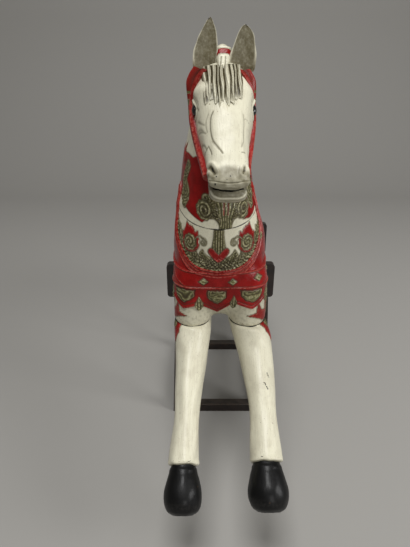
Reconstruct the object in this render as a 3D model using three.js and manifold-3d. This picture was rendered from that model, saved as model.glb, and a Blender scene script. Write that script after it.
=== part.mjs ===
// Carved and painted carousel horse, resting in the timber stand built with it.
// Millimetres, +Z up. The horse faces -Y; its left side is +X.
// The wooden bodies are one smooth field of rounded limbs. Each piece is a skin cast outwards from its
// own spine onto that field, so the pieces meet flush where the carver glued them.

import * as THREE from 'three';
import Module from 'manifold-3d';
import { LoftGeometry } from 'three/addons/geometries/LoftGeometry.js';
import { mergeVertices } from 'three/addons/utils/BufferGeometryUtils.js';

const wasm = await Module();
wasm.setup();

// ---------------------------------------------------------------- driving sizes

const GAP = 0.3;                // clearance between pieces that touch
const BLEND = 14;               // softness of the joins between limbs
const HORSE_OFFSET = -4;        // the horse sits this far off the stand's zero line

const NECK_SEAM = { y: -465, z: 838, slope: 20 };   // front of the neck joint and its rise, degrees
const FORE_SEAM = 535;          // height of the foreleg joints
const HIND_SEAM = 545;          // height of the hind leg joints
const NOSE_AXIS = { y: -330, z: 735 };                // ends of the torso's inner axis
const TAIL_AXIS = { y: 250, z: 755 };

const CENTRE = -9;              // the carver's middle line on the breast
const BAND = { low: 663, high: 713, proud: 5 };       // breast band
const LAPPET = { from: -315, to: 333, proud: 3 };
const COLLAR = { halfWidth: 11, proud: 4 };
const SADDLE = { front: -105, back: 205, halfAngle: 62, proud: 13 };
const BLANKET = { front: -150, back: 262, halfAngle: 100, notch: 15, points: 4, proud: 5 };

const POLL = { y: -448.5, z: 1238 };                  // top of the head
const FACE_SLOPE = 48.9;                              // fall of the face line, degrees
const HEAD_TURN = 0.028;        // the muzzle points a little to the horse's left

const STAND_HALF_LENGTH = 233.5;
const STAND_OFFSET = 10;        // centre line of the posts
const BAR = 35;                 // square section of posts, bars and rails
const BOARD = 29;               // thickness of the cradle boards
const POST_TOP = 518;
const POST_SPREAD = { top: 163, foot: 187 };          // outer faces, from the centre line
const FRONT_BOARD = { centre: 3.5, width: 370, top: 642.5 };
const REAR_BOARD = { centre: 22, width: 396, top: 653 };
const BOARD_CORNER = 12;

// ---------------------------------------------------------------- materials

const paint = (color, roughness, metalness = 0) => new THREE.MeshStandardMaterial({ color, roughness, metalness });
const redPaint = paint(0xa3231f, 0.45);
const whitePaint = paint(0xd9d6c4, 0.5);
const blackLacquer = paint(0x140d0b, 0.35);

// ---------------------------------------------------------------- small helpers

const radians = THREE.MathUtils.degToRad;
const mix = THREE.MathUtils.lerp;
const smooth = THREE.MathUtils.smoothstep;
const point = (x, y, z) => new THREE.Vector3(x, y, z);

// A closed geometry as a solid for joining and cutting.
function toSolid(geometry) {
    const bare = new THREE.BufferGeometry().copy(geometry);
    bare.deleteAttribute('normal');
    bare.deleteAttribute('uv');
    const merged = mergeVertices(bare, 1e-3);
    const vertProperties = new Float32Array(merged.attributes.position.array);
    const triVerts = new Uint32Array(merged.index.array);
    return new wasm.Manifold(new wasm.Mesh({ numProp: 3, vertProperties, triVerts }));
}

function toGeometry(solid) {
    const mesh = solid.getMesh();
    const geometry = new THREE.BufferGeometry();
    geometry.setAttribute('position', new THREE.BufferAttribute(mesh.vertProperties, 3));
    geometry.setIndex(new THREE.BufferAttribute(mesh.triVerts, 1));
    return geometry;
}

const join = (solids) => solids.reduce((sum, next) => sum.add(next));

// A box given by its low and high corners, turned about X through its low corner by `tilt` degrees.
function boxSolid(low, high, tilt = 0, pivot = point(0, 0, 0)) {
    const size = high.clone().sub(low);
    const box = new THREE.BoxGeometry(size.x, size.y, size.z);
    box.translate(...low.clone().add(high).multiplyScalar(0.5).sub(pivot).toArray());
    box.rotateX(radians(tilt));
    box.translate(...pivot.toArray());
    return toSolid(box);
}

// A smooth curve through stations of any length: each component follows a Catmull-Rom curve.
function stationCurve(stations) {
    const parts = [];
    for (let i = 0; i < stations[0].length; i += 3) {
        const knots = stations.map((row) => point(row[i], row[i + 1] ?? 0, row[i + 2] ?? 0));
        parts.push(new THREE.CatmullRomCurve3(knots, false, 'catmullrom', 0.5));
    }
    return (t) => parts.flatMap((curve) => curve.getPoint(t).toArray());
}

// ---------------------------------------------------------------- the field of limbs

// A limb runs between two points; radii are in the side view, widths across X.
const limb = (from, to, radii, widths) => ({ from, to, radii, widths });

const mirrored = (item) => limb(
    point(-item.from.x, item.from.y, item.from.z),
    point(-item.to.x, item.to.y, item.to.z),
    item.radii,
    item.widths,
);

const bothSides = (item) => [item, mirrored(item)];

const TRUNK = [
    limb(point(0, -285, 745), point(0, 225, 752), [158, 156], [141, 143]),
    limb(point(-6, -345, 800), point(0, -350, 650), [116, 112], [122, 125]),
    limb(point(0, 225, 765), point(0, 262, 772), [142, 132], [138, 130]),
    ...bothSides(limb(point(58, 232, 735), point(74, 296, 668), [124, 100], [80, 70])),
    ...bothSides(limb(point(80, 300, 660), point(91, 349, 556), [84, 61], [64, 54])),
    ...bothSides(limb(point(80, -392, 660), point(85, -401, 548), [64, 60], [55, 54])),
];

const NECK = [
    limb(point(-12, -285, 880), point(-12, -275, 985), [164, 130], [118, 93]),
    limb(point(-12, -275, 985), point(-5, -288, 1095), [130, 112], [93, 76]),
    limb(point(-5, -288, 1095), point(-3, -345, 1180), [112, 92], [76, 60]),
];

const BODY = [...TRUNK, ...NECK];

// Distance-like value of one limb: negative inside.
function limbValue(item, x, y, z) {
    const along = item.to.clone().sub(item.from);
    const reach = (y - item.from.y) * along.y + (z - item.from.z) * along.z;
    const h = THREE.MathUtils.clamp(reach / (along.y ** 2 + along.z ** 2), 0, 1);
    const radius = mix(item.radii[0], item.radii[1], h);
    const width = mix(item.widths[0], item.widths[1], h);
    const dx = (x - item.from.x - h * along.x) * radius / width;
    const dy = y - item.from.y - h * along.y;
    const dz = z - item.from.z - h * along.z;
    return Math.hypot(dx, dy, dz) - radius;
}

// Smooth union: limbs within BLEND of one another run together in a fillet.
function fieldValue(limbs, at) {
    const values = limbs.map((item) => limbValue(item, at.x, at.y, at.z));
    const least = Math.min(...values);
    const sum = values.reduce((total, value) => total + Math.exp((least - value) / BLEND), 0);
    return least - BLEND * Math.log(sum);
}

// Distance from the origin to the skin along a direction, by halving; no further than `reach`.
function castRay(limbs, origin, direction, reach) {
    const at = (distance) => origin.clone().addScaledVector(direction, distance);
    if (fieldValue(limbs, at(reach)) < 0) return reach;
    let inside = 0;
    let outside = reach;
    for (let step = 0; step < 24; step += 1) {
        const middle = (inside + outside) / 2;
        if (fieldValue(limbs, at(middle)) < 0) inside = middle;
        else outside = middle;
    }
    return inside;
}

// ---------------------------------------------------------------- rings and skins

// Unit direction at angle theta round a section whose normal is `normal`: 0 points along (0, -nz, ny).
function sectionDirection(normal, theta) {
    const sine = Math.sin(theta);
    const cosine = Math.cos(theta);
    return point(sine, -normal.z * cosine, normal.y * cosine);
}

function ring(sides, pointAt) {
    return Array.from({ length: sides }, (_, index) => pointAt(index * 2 * Math.PI / sides));
}

// True where a ring winds anticlockwise as seen from the next one.
function windsOutward(loop, next) {
    const normal = point(0, 0, 0);
    const advance = point(0, 0, 0);
    loop.forEach((corner, index) => {
        normal.add(corner.clone().cross(loop[(index + 1) % loop.length]));
        advance.add(next[index]).sub(corner);
    });
    return normal.dot(advance) > 0;
}

// A closed skin through rings of points.
function skin(rings) {
    const middle = Math.floor(rings.length / 2);
    const ordered = windsOutward(rings[middle - 1], rings[middle]) ? rings : rings.map((loop) => loop.reverse());
    return toSolid(new LoftGeometry(ordered, { capStart: true, capEnd: true }));
}

// A carved layer that stands proud of a surface. surface(a, b, lift) gives its points for a and b in 0..1.
function layer(surface, columns, rows, proud, depth = 9) {
    const rings = [];
    for (let column = 0; column <= columns; column += 1) {
        const a = column / columns;
        const outer = [];
        const inner = [];
        for (let row = 0; row <= rows; row += 1) {
            outer.push(surface(a, row / rows, proud(a, row / rows)));
            inner.unshift(surface(a, row / rows, -depth));
        }
        rings.push([...outer, ...inner]);
    }
    return skin(rings);
}

// ---------------------------------------------------------------- torso

const seamSlope = Math.tan(radians(NECK_SEAM.slope));
const seamHeight = (y) => NECK_SEAM.z + (y - NECK_SEAM.y) * seamSlope;
const SEAM_MARGIN = 30;         // the skin runs this far past a joint before it is cut

// How far a ray may run before it passes the planes of the neck and leg joints.
function torsoReach(origin, direction) {
    const rise = direction.z - direction.y * seamSlope;
    const neckLimit = rise > 0 ? (seamHeight(origin.y) + SEAM_MARGIN - origin.z) / rise : Infinity;
    const floor = Math.min(FORE_SEAM, HIND_SEAM) - SEAM_MARGIN;
    const legLimit = direction.z < 0 ? (floor - origin.z) / direction.z : Infinity;
    return Math.min(420, neckLimit, legLimit);
}

// Origin and direction for a place on the torso: u runs nose to tail, theta round from the back.
function torsoRay(u, theta) {
    const noseShare = 0.24;
    const tailShare = 0.24;
    const middle = 1 - noseShare - tailShare;
    const along = THREE.MathUtils.clamp((u - noseShare) / middle, 0, 1);
    const fanNose = Math.min(u / noseShare, 1) * 90;
    const fanTail = Math.max((u - noseShare - middle) / tailShare, 0) * 90;
    const polar = radians(fanNose + fanTail);
    const origin = point(0, mix(NOSE_AXIS.y, TAIL_AXIS.y, along), mix(NOSE_AXIS.z, TAIL_AXIS.z, along));
    const spread = Math.sin(polar);
    const direction = point(spread * Math.sin(theta), -Math.cos(polar), spread * Math.cos(theta));
    return { origin, direction };
}

function torsoPoint(u, theta, lift = 0) {
    const { origin, direction } = torsoRay(u, theta);
    const distance = castRay(BODY, origin, direction, torsoReach(origin, direction));
    return origin.addScaledVector(direction, distance + lift);
}

function torsoSkin(lift = 0, rows = 26, sides = 30) {
    const rings = [];
    for (let row = 0; row <= rows; row += 1) {
        const u = mix(0.006, 0.994, row / rows);
        rings.push(ring(sides, (theta) => torsoPoint(u, theta, lift)));
    }
    return skin(rings);
}

const ARC = 230;                // length given to each quarter turn round the breast

// Place on a level girdle round the chest: t is the travel from the middle line, positive to the left.
function girdlePoint(t, z, lift) {
    const travel = t + CENTRE;
    const side = Math.sign(travel) || 1;
    const turn = radians(Math.min(Math.abs(travel) / ARC, 1) * 90);
    const back = Math.max(Math.abs(travel) - ARC, 0);
    const origin = point(0, NOSE_AXIS.y + back, z);
    const direction = point(side * Math.sin(turn), -Math.cos(turn), 0);
    const distance = castRay(BODY, origin, direction, 300);
    return origin.addScaledVector(direction, distance + lift);
}

function breastBand() {
    const reach = ARC + 210;
    const place = (a, b, lift) => girdlePoint(mix(-reach, reach, a), mix(BAND.low, BAND.high, b), lift);
    const ridged = (a, b) => BAND.proud + (b < 0.2 || b > 0.8 ? 2 : 0);
    return layer(place, 20, 3, ridged);
}

// Lower edge of the lappets: travel and height of each tip and valley, joined by straight sides.
const LAPPET_EDGE = [
    [-315, 618], [-300, 611], [-250, 634], [-200, 604], [-150, 627], [-97, 594], [-56, 610], [-4, 573],
    [50, 614], [99, 595], [150, 627], [200, 604], [250, 634], [300, 611], [333, 626],
];

function lappetEdge(t) {
    const next = LAPPET_EDGE.findIndex(([place]) => place >= t);
    const [t1, z1] = LAPPET_EDGE[Math.max(next, 1)];
    const [t0, z0] = LAPPET_EDGE[Math.max(next, 1) - 1];
    return mix(z0, z1, (t - t0) / (t1 - t0));
}

// Pointed lappets hang below the band.
function lappets() {
    const travels = LAPPET_EDGE.flatMap(([t], index) => (index ? [(t + LAPPET_EDGE[index - 1][0]) / 2, t] : [t]));
    const travelAt = (a) => travels[Math.round(a * (travels.length - 1))];
    const place = (a, b, lift) => girdlePoint(travelAt(a), mix(lappetEdge(travelAt(a)), BAND.low + 4, b), lift);
    return layer(place, travels.length - 1, 1, () => LAPPET.proud);
}

// Collar strap: a U round the breast whose ends climb over the sides of the neck.
const COLLAR_LINE = stationCurve([
    [0, 708], [62, 716], [112, 742], [149, 779], [173, 821], [190, 868], [207, 905], [236, 936],
]);

function collarStrap() {
    const centreLine = (a) => {
        const turn = 2 * a - 1;
        const [travel, height] = COLLAR_LINE(Math.abs(turn));
        return new THREE.Vector2(Math.sign(turn) * travel, height);
    };
    const place = (a, b, lift) => {
        const here = centreLine(a);
        const along = centreLine(Math.min(a + 0.01, 1)).sub(centreLine(Math.max(a - 0.01, 0))).normalize();
        const offset = mix(-1, 1, b) * COLLAR.halfWidth;
        return girdlePoint(here.x - along.y * offset, here.y + along.x * offset, lift);
    };
    return layer(place, 28, 1, () => COLLAR.proud);
}

// Torso place from a distance along the back and an angle from the spine, in degrees.
function backPoint(y, angle, lift) {
    const along = (y - NOSE_AXIS.y) / (TAIL_AXIS.y - NOSE_AXIS.y);
    const origin = point(0, y, mix(NOSE_AXIS.z, TAIL_AXIS.z, along));
    const theta = radians(angle);
    const direction = point(Math.sin(theta), 0, Math.cos(theta));
    const distance = castRay(BODY, origin, direction, torsoReach(origin, direction));
    return origin.addScaledVector(direction, distance + lift);
}

// Saddle blanket with a pointed hem, under the saddle.
function blanket() {
    const hem = (a) => BLANKET.halfAngle - BLANKET.notch * Math.abs(2 * ((a * BLANKET.points) % 1) - 1);
    const place = (a, b, lift) => backPoint(mix(BLANKET.front, BLANKET.back, a), mix(-1, 1, b) * hem(a), lift);
    return layer(place, 4 * BLANKET.points, 12, () => BLANKET.proud);
}

// Saddle with a raised pommel and cantle, its skirts rounded.
function saddle() {
    const outline = (a) => SADDLE.halfAngle * Math.sqrt(Math.max(1 - (2 * a - 1) ** 6, 0.16));
    const rise = (a, b) => {
        const middle = Math.cos((b - 0.5) * Math.PI) ** 1.4;
        const pommel = 46 * Math.exp(-((a - 0.04) ** 2) / 0.008);
        const cantle = 52 * Math.exp(-((a - 0.95) ** 2) / 0.01);
        return SADDLE.proud + (pommel + cantle) * middle;
    };
    const place = (a, b, lift) => backPoint(mix(SADDLE.front, SADDLE.back, a), mix(-1, 1, b) * outline(a), lift);
    return layer(place, 12, 8, rise);
}

// Tail: a hank of carved strands falling from the rump.
function tail(sides = 12, rows = 10) {
    const curve = stationCurve([
        [360, 835, 26],
        [408, 838, 34],
        [448, 790, 40],
        [466, 715, 42],
        [474, 630, 38],
        [488, 550, 28],
        [508, 488, 12],
    ]);
    const rings = [];
    for (let row = 0; row <= rows; row += 1) {
        const t = row / rows;
        const [y, z, radius] = curve(t);
        const [nextY, nextZ] = curve(Math.min(t + 0.01, 1));
        const [lastY, lastZ] = curve(Math.max(t - 0.01, 0));
        const normal = point(0, nextY - lastY, nextZ - lastZ).normalize();
        rings.push(ring(sides, (theta) => {
            const strand = radius * (1 + 0.12 * Math.cos(theta * sides / 2));
            return point(0, y, z).addScaledVector(sectionDirection(normal, theta), strand);
        }));
    }
    return skin(rings);
}

function neckSide(lift) {
    const front = point(-400, NECK_SEAM.y, NECK_SEAM.z + lift);
    return boxSolid(front, point(400, NECK_SEAM.y + 900, NECK_SEAM.z + lift + 700), NECK_SEAM.slope, front)
        .add(boxSolid(front.clone().setY(-900), point(400, NECK_SEAM.y + 20, NECK_SEAM.z + lift + 700)));
}

const below = (z, y0, y1) => boxSolid(point(-400, y0, z - 400), point(400, y1, z));

function torsoSolid() {
    return join([torsoSkin(), blanket(), saddle(), breastBand(), lappets(), collarStrap(), tail()])
        .subtract(neckSide(0))
        .subtract(below(FORE_SEAM, -700, -100))
        .subtract(below(HIND_SEAM, 280, 460));
}

// ---------------------------------------------------------------- neck and head

const NECK_LEAN = -12;          // the neck bows a little to the horse's right

// Neck spine: y, z and the lean of each section's normal from straight up, degrees towards the front.
const NECK_SPINE = stationCurve([
    [-302, 897.3, 20],
    [-286, 965, 16],
    [-280, 1020, 6],
    [-284, 1085, 12],
    [-310, 1145, 34],
    [-358, 1187, 58],
    [-410, 1196, 80],
]);

function neckFrame(t) {
    const [y, z, lean] = NECK_SPINE(t);
    const normal = point(0, -Math.sin(radians(lean)), Math.cos(radians(lean)));
    return { centre: point(NECK_LEAN * (1 - t ** 2), y, z), normal };
}

function neckPoint(t, theta, lift = 0) {
    const { centre, normal } = neckFrame(t);
    const direction = sectionDirection(normal, theta);
    const distance = castRay(BODY, centre, direction, 230);
    return centre.addScaledVector(direction, distance + lift);
}

function neckSolid(sides = 20, rows = 11) {
    const rings = [];
    for (let row = 0; row <= rows; row += 1) {
        rings.push(ring(sides, (theta) => neckPoint(row / rows, theta)));
    }
    return skin(rings);
}

// Mane: a grooved crest from the withers to the poll, its locks falling on both sides.
function mane() {
    const spread = (t) => 16 + 20 * Math.sin(Math.PI * Math.min(t * 1.2, 1)) + 3 * Math.abs(Math.sin(t * 40));
    const proud = (a, b) => {
        const ridge = Math.cos((b - 0.5) * Math.PI);
        return 5 + 13 * ridge ** 2 + 2.5 * Math.cos(a * 24 * Math.PI);
    };
    const place = (a, b, lift) => {
        const t = mix(0.06, 0.93, a);
        return neckPoint(t, Math.PI + radians(mix(-1, 1, b) * spread(t)), lift);
    };
    return layer(place, 24, 4, proud);
}

const faceAxis = point(0, -Math.cos(radians(FACE_SLOPE)), -Math.sin(radians(FACE_SLOPE)));
const jawAxis = point(0, Math.sin(radians(FACE_SLOPE)), -Math.cos(radians(FACE_SLOPE)));

// A place in the head: s down the face from the poll, w back towards the jaw, x across.
const headPoint = (x, s, w) => point(x - 3 + HEAD_TURN * s, POLL.y, POLL.z)
    .addScaledVector(faceAxis, s)
    .addScaledVector(jawAxis, w);

// Head stations: distance s, face w, jaw w, then half-width, squareness.
const HEAD_STATIONS = [
    [-52, 62, 112, 24, 2],
    [-40, 28, 142, 52, 2.1],
    [-16, 8, 164, 68, 2.2],
    [20, -4, 172, 73, 2.3],
    [60, -10, 172, 73, 2.4],
    [105, -11, 166, 71, 2.5],
    [150, -10, 150, 65, 2.6],
    [195, -7, 124, 57, 2.7],
    [232, -5, 92, 50, 2.8],
    [262, -5, 60, 46, 2.8],
    [288, -5, 42, 46, 2.7],
    [307, -3, 28, 42, 2.5],
    [317, 5, 19, 22, 2.2],
];

// Lower jaw stations: s, centre w, half-depth, half-width.
const JAW_STATIONS = [
    [140, 116, 34, 44, 2.2],
    [190, 95, 30, 45, 2.3],
    [240, 78, 26, 44, 2.5],
    [272, 69, 22, 43, 2.6],
    [294, 60, 24, 43, 2.6],
    [312, 51, 23, 42, 2.5],
    [324, 47, 16, 34, 2.3],
    [329, 46, 8, 17, 2.1],
];

// A rounded box section: superellipse of half-width across X and half-depth along w.
function boxedRing(s, centre, halfDepth, halfWidth, squareness, sides, across = 0) {
    return ring(sides, (theta) => {
        const power = 2 / squareness;
        const x = Math.sign(Math.sin(theta)) * Math.abs(Math.sin(theta)) ** power * halfWidth;
        const w = Math.sign(Math.cos(theta)) * Math.abs(Math.cos(theta)) ** power * halfDepth;
        return headPoint(across + x, s, centre + w);
    });
}

function skull(sides = 16, rows = 15) {
    const curve = stationCurve(HEAD_STATIONS);
    const rings = [];
    for (let row = 0; row <= rows; row += 1) {
        const [s, face, jaw, halfWidth, squareness] = curve(row / rows);
        rings.push(boxedRing(s, (face + jaw) / 2, (jaw - face) / 2, halfWidth, squareness, sides));
    }
    return skin(rings);
}

function lowerJaw(sides = 12, rows = 7) {
    const curve = stationCurve(JAW_STATIONS);
    const rings = [];
    for (let row = 0; row <= rows; row += 1) {
        const [s, centre, halfDepth, halfWidth, squareness] = curve(row / rows);
        rings.push(boxedRing(s, centre, halfDepth, halfWidth, squareness, sides));
    }
    return skin(rings);
}

// Ear stations: half-width, height, thickness, place across. The right ear is longer and narrower.
const RIGHT_EAR = [
    [26, 0, 13, -48.5], [27, 12, 12, -46.5], [26.5, 38, 10, -45],
    [22, 62, 8, -42], [16, 86, 6, -37.5], [4, 113, 4, -34],
];
const LEFT_EAR = [
    [31, 0, 13, 39], [33, 9, 12, 40], [31, 33, 10, 43.5],
    [25, 57, 8, 46.5], [18, 80, 6, 48.5], [5, 98, 4, 47],
];

// Ear: a leaf with a hollow front.
function ear(stations, sides = 10, rows = 6) {
    const curve = stationCurve(stations);
    const rings = [];
    for (let row = 0; row <= rows; row += 1) {
        const [halfWidth, height, thick, across] = curve(row / rows);
        rings.push(ring(sides, (theta) => {
            const x = Math.sin(theta) * halfWidth;
            const hollow = Math.cos(theta) < 0 ? 0.7 * thick * (1 - (x / halfWidth) ** 2) : 0;
            const y = -433 + Math.cos(theta) * thick + hollow * 1.2 + 0.09 * height;
            return point(across + x, y, 1224 + height);
        }));
    }
    return skin(rings);
}

// Topknot: the mane's front end, bound and wider towards its flat top.
function topknot(sides = 10, rows = 3) {
    const rings = [];
    for (let row = 0; row <= rows; row += 1) {
        const t = row / rows;
        rings.push(boxedRing(mix(24, -43, t), 8 + 4 * t, 13 + 6 * t, 10.5 + 6.5 * t, 3.2, sides, mix(-4, 3, t)));
    }
    return skin(rings);
}

// One tapering strand of the forelock, from the poll down the forehead.
function strand(x, length, sides = 5, rows = 3) {
    const rings = [];
    for (let row = 0; row <= rows; row += 1) {
        const t = row / rows;
        const s = mix(-6, length, t);
        const width = 6.4 * Math.cos(t * 1.35);
        const centre = -8 - 4 * Math.sin(Math.min(t * 1.5, 1) * Math.PI / 2) + 10 * (t < 0.1);
        rings.push(ring(sides, (theta) => headPoint(
            x + Math.sin(theta) * width, s, centre + Math.cos(theta) * 8)));
    }
    return skin(rings);
}

function forelock() {
    const count = 9;
    const strands = [];
    for (let index = 0; index < count; index += 1) {
        const share = index / (count - 1) * 2 - 1;
        strands.push(strand(-3 + share * 44, 100 - 14 * share * share - 8 * (index % 2)));
    }
    return join(strands);
}

const ball = (centre, radii) => {
    const sphere = new THREE.SphereGeometry(1, 8, 5);
    sphere.scale(radii.x, radii.y, radii.z);
    sphere.rotateX(radians(FACE_SLOPE - 90));
    sphere.translate(...centre.toArray());
    return toSolid(sphere);
};

const eye = (side) => ball(headPoint(side * 68, 87, 34), point(9, 11, 15));
const brow = (side) => ball(headPoint(side * 60, 60, 14), point(15, 15, 24));
const nostril = (side) => ball(headPoint(side * 34, 278, -3), point(5, 6, 9));

// Bridle strap: a raised band round one side of the head at a slant.
function cheekStrap(side) {
    const curve = stationCurve([[4, 34, 74], [60, 70, 76], [120, 72, 72], [190, 62, 60], [262, 42, 47]]);
    const rings = [];
    for (let row = 0; row <= 7; row += 1) {
        const [s, w, x] = curve(row / 7);
        rings.push(ring(4, (theta) => {
            const turned = theta + Math.PI / 4;
            const proud = side < 0 ? 12 : 8;
            return headPoint(side * (x - 4 + Math.sin(turned) * proud), s, w + Math.cos(turned) * 11);
        }));
    }
    return skin(rings);
}

function headSolid() {
    const sides = [-1, 1];
    const pieces = [
        neckSolid(), mane(), skull(), lowerJaw(), forelock(), topknot(), ear(RIGHT_EAR), ear(LEFT_EAR),
    ];
    sides.forEach((side) => pieces.push(eye(side), brow(side), cheekStrap(side)));
    const carved = sides.reduce((solid, side) => solid.subtract(nostril(side)), join(pieces));
    const seat = boxSolid(point(-400, -900, 0), point(400, NECK_SEAM.y + 900, 700));
    return carved.subtract(seat).subtract(belowNeckSeam());
}

// Everything under the neck joint, with the clearance above it.
function belowNeckSeam() {
    const front = point(-400, NECK_SEAM.y - 200, NECK_SEAM.z + GAP - 600);
    const pivot = point(0, NECK_SEAM.y, NECK_SEAM.z + GAP);
    return boxSolid(front, point(400, NECK_SEAM.y + 500, NECK_SEAM.z + GAP), NECK_SEAM.slope, pivot);
}

// ---------------------------------------------------------------- legs

// Leg stations: y, z, lean of the section's normal from straight down in degrees,
// half-depth, half-width, then how far out from the middle the right leg and the left leg stand.
const FORELEG = [
    [-401, 535, 0, 66, 56, 85, 87],
    [-430, 498, 34, 61, 55, 84, 96],
    [-492, 448, 57, 52, 48, 87, 107],
    [-582, 394, 59, 46, 38.5, 93, 113],
    [-660, 346, 59, 38, 35, 97, 114.5],
    [-730, 302, 57, 40, 39.5, 101.5, 114],
    [-750, 290, 56, 38, 38, 102, 113],
];

const HINDLEG = [
    [346, 545, 0, 66, 54, 91, 91],
    [378, 506, -34, 62, 53, 92, 92],
    [440, 458, -56, 52, 46, 95, 95],
    [540, 410, -60, 47, 39, 99, 99],
    [620, 364, -60, 37, 35.5, 102, 102],
    [690, 324, -58, 39, 38, 105, 105],
    [712, 311, -57, 37, 36.5, 106, 106],
];

// Hoof stations along the leg's last direction: distance, half-depth, half-width.
const HOOF = [[-6, 30, 30], [8, 34, 34], [32, 42, 42], [60, 47.5, 48], [84, 46, 47], [102, 38, 39], [111, 24, 26]];

function legNormal(lean) {
    return point(0, -Math.sin(radians(lean)), -Math.cos(radians(lean)));
}

const legX = (side, station) => (side > 0 ? station[6] : -station[5]);

function legRing(side, station, sides, seamShare) {
    const [y, z, lean, halfDepth, halfWidth] = station;
    const centre = point(legX(side, station), y, z);
    const normal = legNormal(lean);
    return ring(sides, (theta) => {
        const direction = sectionDirection(normal, theta);
        const own = 1 / Math.hypot(Math.sin(theta) / halfWidth, Math.cos(theta) / halfDepth);
        const flush = seamShare > 0 ? castRay(BODY, centre, direction, 110) : own;
        return centre.clone().addScaledVector(direction, mix(own, flush, seamShare));
    });
}

function legSolid(stations, side, raise, stout, sides = 12, rows = 8) {
    const curve = stationCurve(stations);
    const rings = [];
    for (let row = 0; row <= rows; row += 1) {
        const t = row / rows;
        const station = curve(t);
        station[1] += raise * t - (row === 0 ? GAP : 0);
        station[3] *= stout;
        station[4] *= stout;
        rings.push(legRing(side, station, sides, 1 - smooth(t, 0, 0.22)));
    }
    const last = curve(1);
    last[1] += raise;
    return skin(rings).add(hoof(side, last, stout, sides));
}

function hoof(side, station, stout, sides) {
    const [y, z, lean] = station;
    const curve = stationCurve(HOOF);
    const normal = legNormal(lean * 0.9);
    const rings = [];
    for (let row = 0; row <= 5; row += 1) {
        const [distance, halfDepth, halfWidth] = curve(row / 5);
        const centre = point(legX(side, station), y, z).addScaledVector(normal, distance);
        rings.push(ring(sides, (theta) => {
            const across = Math.sin(theta) * halfWidth * stout;
            const deep = Math.cos(theta) * halfDepth * stout;
            return centre.clone().add(point(across, -normal.z * deep, normal.y * deep));
        }));
    }
    return skin(rings);
}

// ---------------------------------------------------------------- stand

// Cradle board with rounded corners, its top cut to the belly.
function cradle(board, nearFace) {
    const shape = new THREE.Shape();
    const half = board.width / 2;
    shape.moveTo(-half + BOARD_CORNER, POST_TOP + GAP);
    shape.lineTo(half - BOARD_CORNER, POST_TOP + GAP);
    shape.absarc(half - BOARD_CORNER, POST_TOP + GAP + BOARD_CORNER, BOARD_CORNER, -Math.PI / 2, 0);
    shape.absarc(half - BOARD_CORNER, board.top - BOARD_CORNER, BOARD_CORNER, 0, Math.PI / 2);
    shape.absarc(-half + BOARD_CORNER, board.top - BOARD_CORNER, BOARD_CORNER, Math.PI / 2, Math.PI);
    shape.absarc(-half + BOARD_CORNER, POST_TOP + GAP + BOARD_CORNER, BOARD_CORNER, Math.PI, 1.5 * Math.PI);
    const slab = new THREE.ExtrudeGeometry(shape, { depth: BOARD, bevelEnabled: false, curveSegments: 3 });
    slab.rotateX(Math.PI / 2);
    slab.translate(board.centre, nearFace + BOARD, 0);
    const belly = torsoSkin(GAP).translate([HORSE_OFFSET, 0, 0]);
    return toSolid(slab).subtract(belly);
}

// Post: square section, leaning so that its foot stands wider than its top.
function post(side) {
    const foot = STAND_OFFSET + side * (POST_SPREAD.foot - BAR / 2);
    const top = STAND_OFFSET + side * (POST_SPREAD.top - BAR / 2);
    const box = new THREE.BoxGeometry(BAR, BAR, POST_TOP);
    const corners = box.attributes.position;
    for (let index = 0; index < corners.count; index += 1) {
        const middle = corners.getZ(index) > 0 ? top : foot;
        corners.setX(index, corners.getX(index) + middle);
    }
    box.translate(0, 0, POST_TOP / 2);
    return box;
}

function box(width, depth, height) {
    return new THREE.BoxGeometry(width, depth, height).translate(0, 0, height / 2);
}

// ---------------------------------------------------------------- assembly

const carousel = new THREE.Group();

function addPiece(group, name, geometry, material, position = point(0, 0, 0)) {
    const mesh = new THREE.Mesh(geometry, material);
    mesh.name = name;
    mesh.position.copy(position);
    group.add(mesh);
}

function buildHorse() {
    const horse = new THREE.Group();
    horse.position.x = HORSE_OFFSET;
    addPiece(horse, 'torso', toGeometry(torsoSolid()), redPaint);
    addPiece(horse, 'head_and_neck', toGeometry(headSolid()), whitePaint);
    addPiece(horse, 'foreleg_right', toGeometry(legSolid(FORELEG, -1, 0, 1)), whitePaint);
    addPiece(horse, 'foreleg_left', toGeometry(legSolid(FORELEG, 1, 12, 1.06)), whitePaint);
    addPiece(horse, 'hindleg_right', toGeometry(legSolid(HINDLEG, -1, 0, 1)), whitePaint);
    addPiece(horse, 'hindleg_left', toGeometry(legSolid(HINDLEG, 1, 6, 1)), whitePaint);
    return horse;
}

function buildStand() {
    const stand = new THREE.Group();
    const barLength = 2 * (POST_SPREAD.foot - BAR) - 8;
    const rows = { front: -1, rear: 1 };
    for (const [row, sign] of Object.entries(rows)) {
        const middle = sign * (STAND_HALF_LENGTH - BAR / 2);
        for (const [side, direction] of Object.entries({ right: -1, left: 1 })) {
            addPiece(stand, `${row}_${side}_post`, post(direction), blackLacquer, point(0, middle, 0));
        }
        const bar = box(barLength, BAR, BAR);
        addPiece(stand, `${row}_cross_bar`, bar, blackLacquer, point(STAND_OFFSET, middle, 0));
    }
    const railLength = 2 * (STAND_HALF_LENGTH - BAR - GAP);
    for (const [side, direction] of Object.entries({ right: -1, left: 1 })) {
        const x = STAND_OFFSET + direction * (POST_SPREAD.foot - BAR / 2);
        addPiece(stand, `${side}_side_rail`, box(BAR, railLength, BAR), blackLacquer, point(x, 0, 0));
    }
    const frontFace = -STAND_HALF_LENGTH;
    const rearFace = STAND_HALF_LENGTH - BAR;
    addPiece(stand, 'front_cradle', toGeometry(cradle(FRONT_BOARD, frontFace)), blackLacquer);
    addPiece(stand, 'rear_cradle', toGeometry(cradle(REAR_BOARD, rearFace)), blackLacquer);
    return stand;
}

carousel.add(buildHorse(), buildStand());

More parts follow.
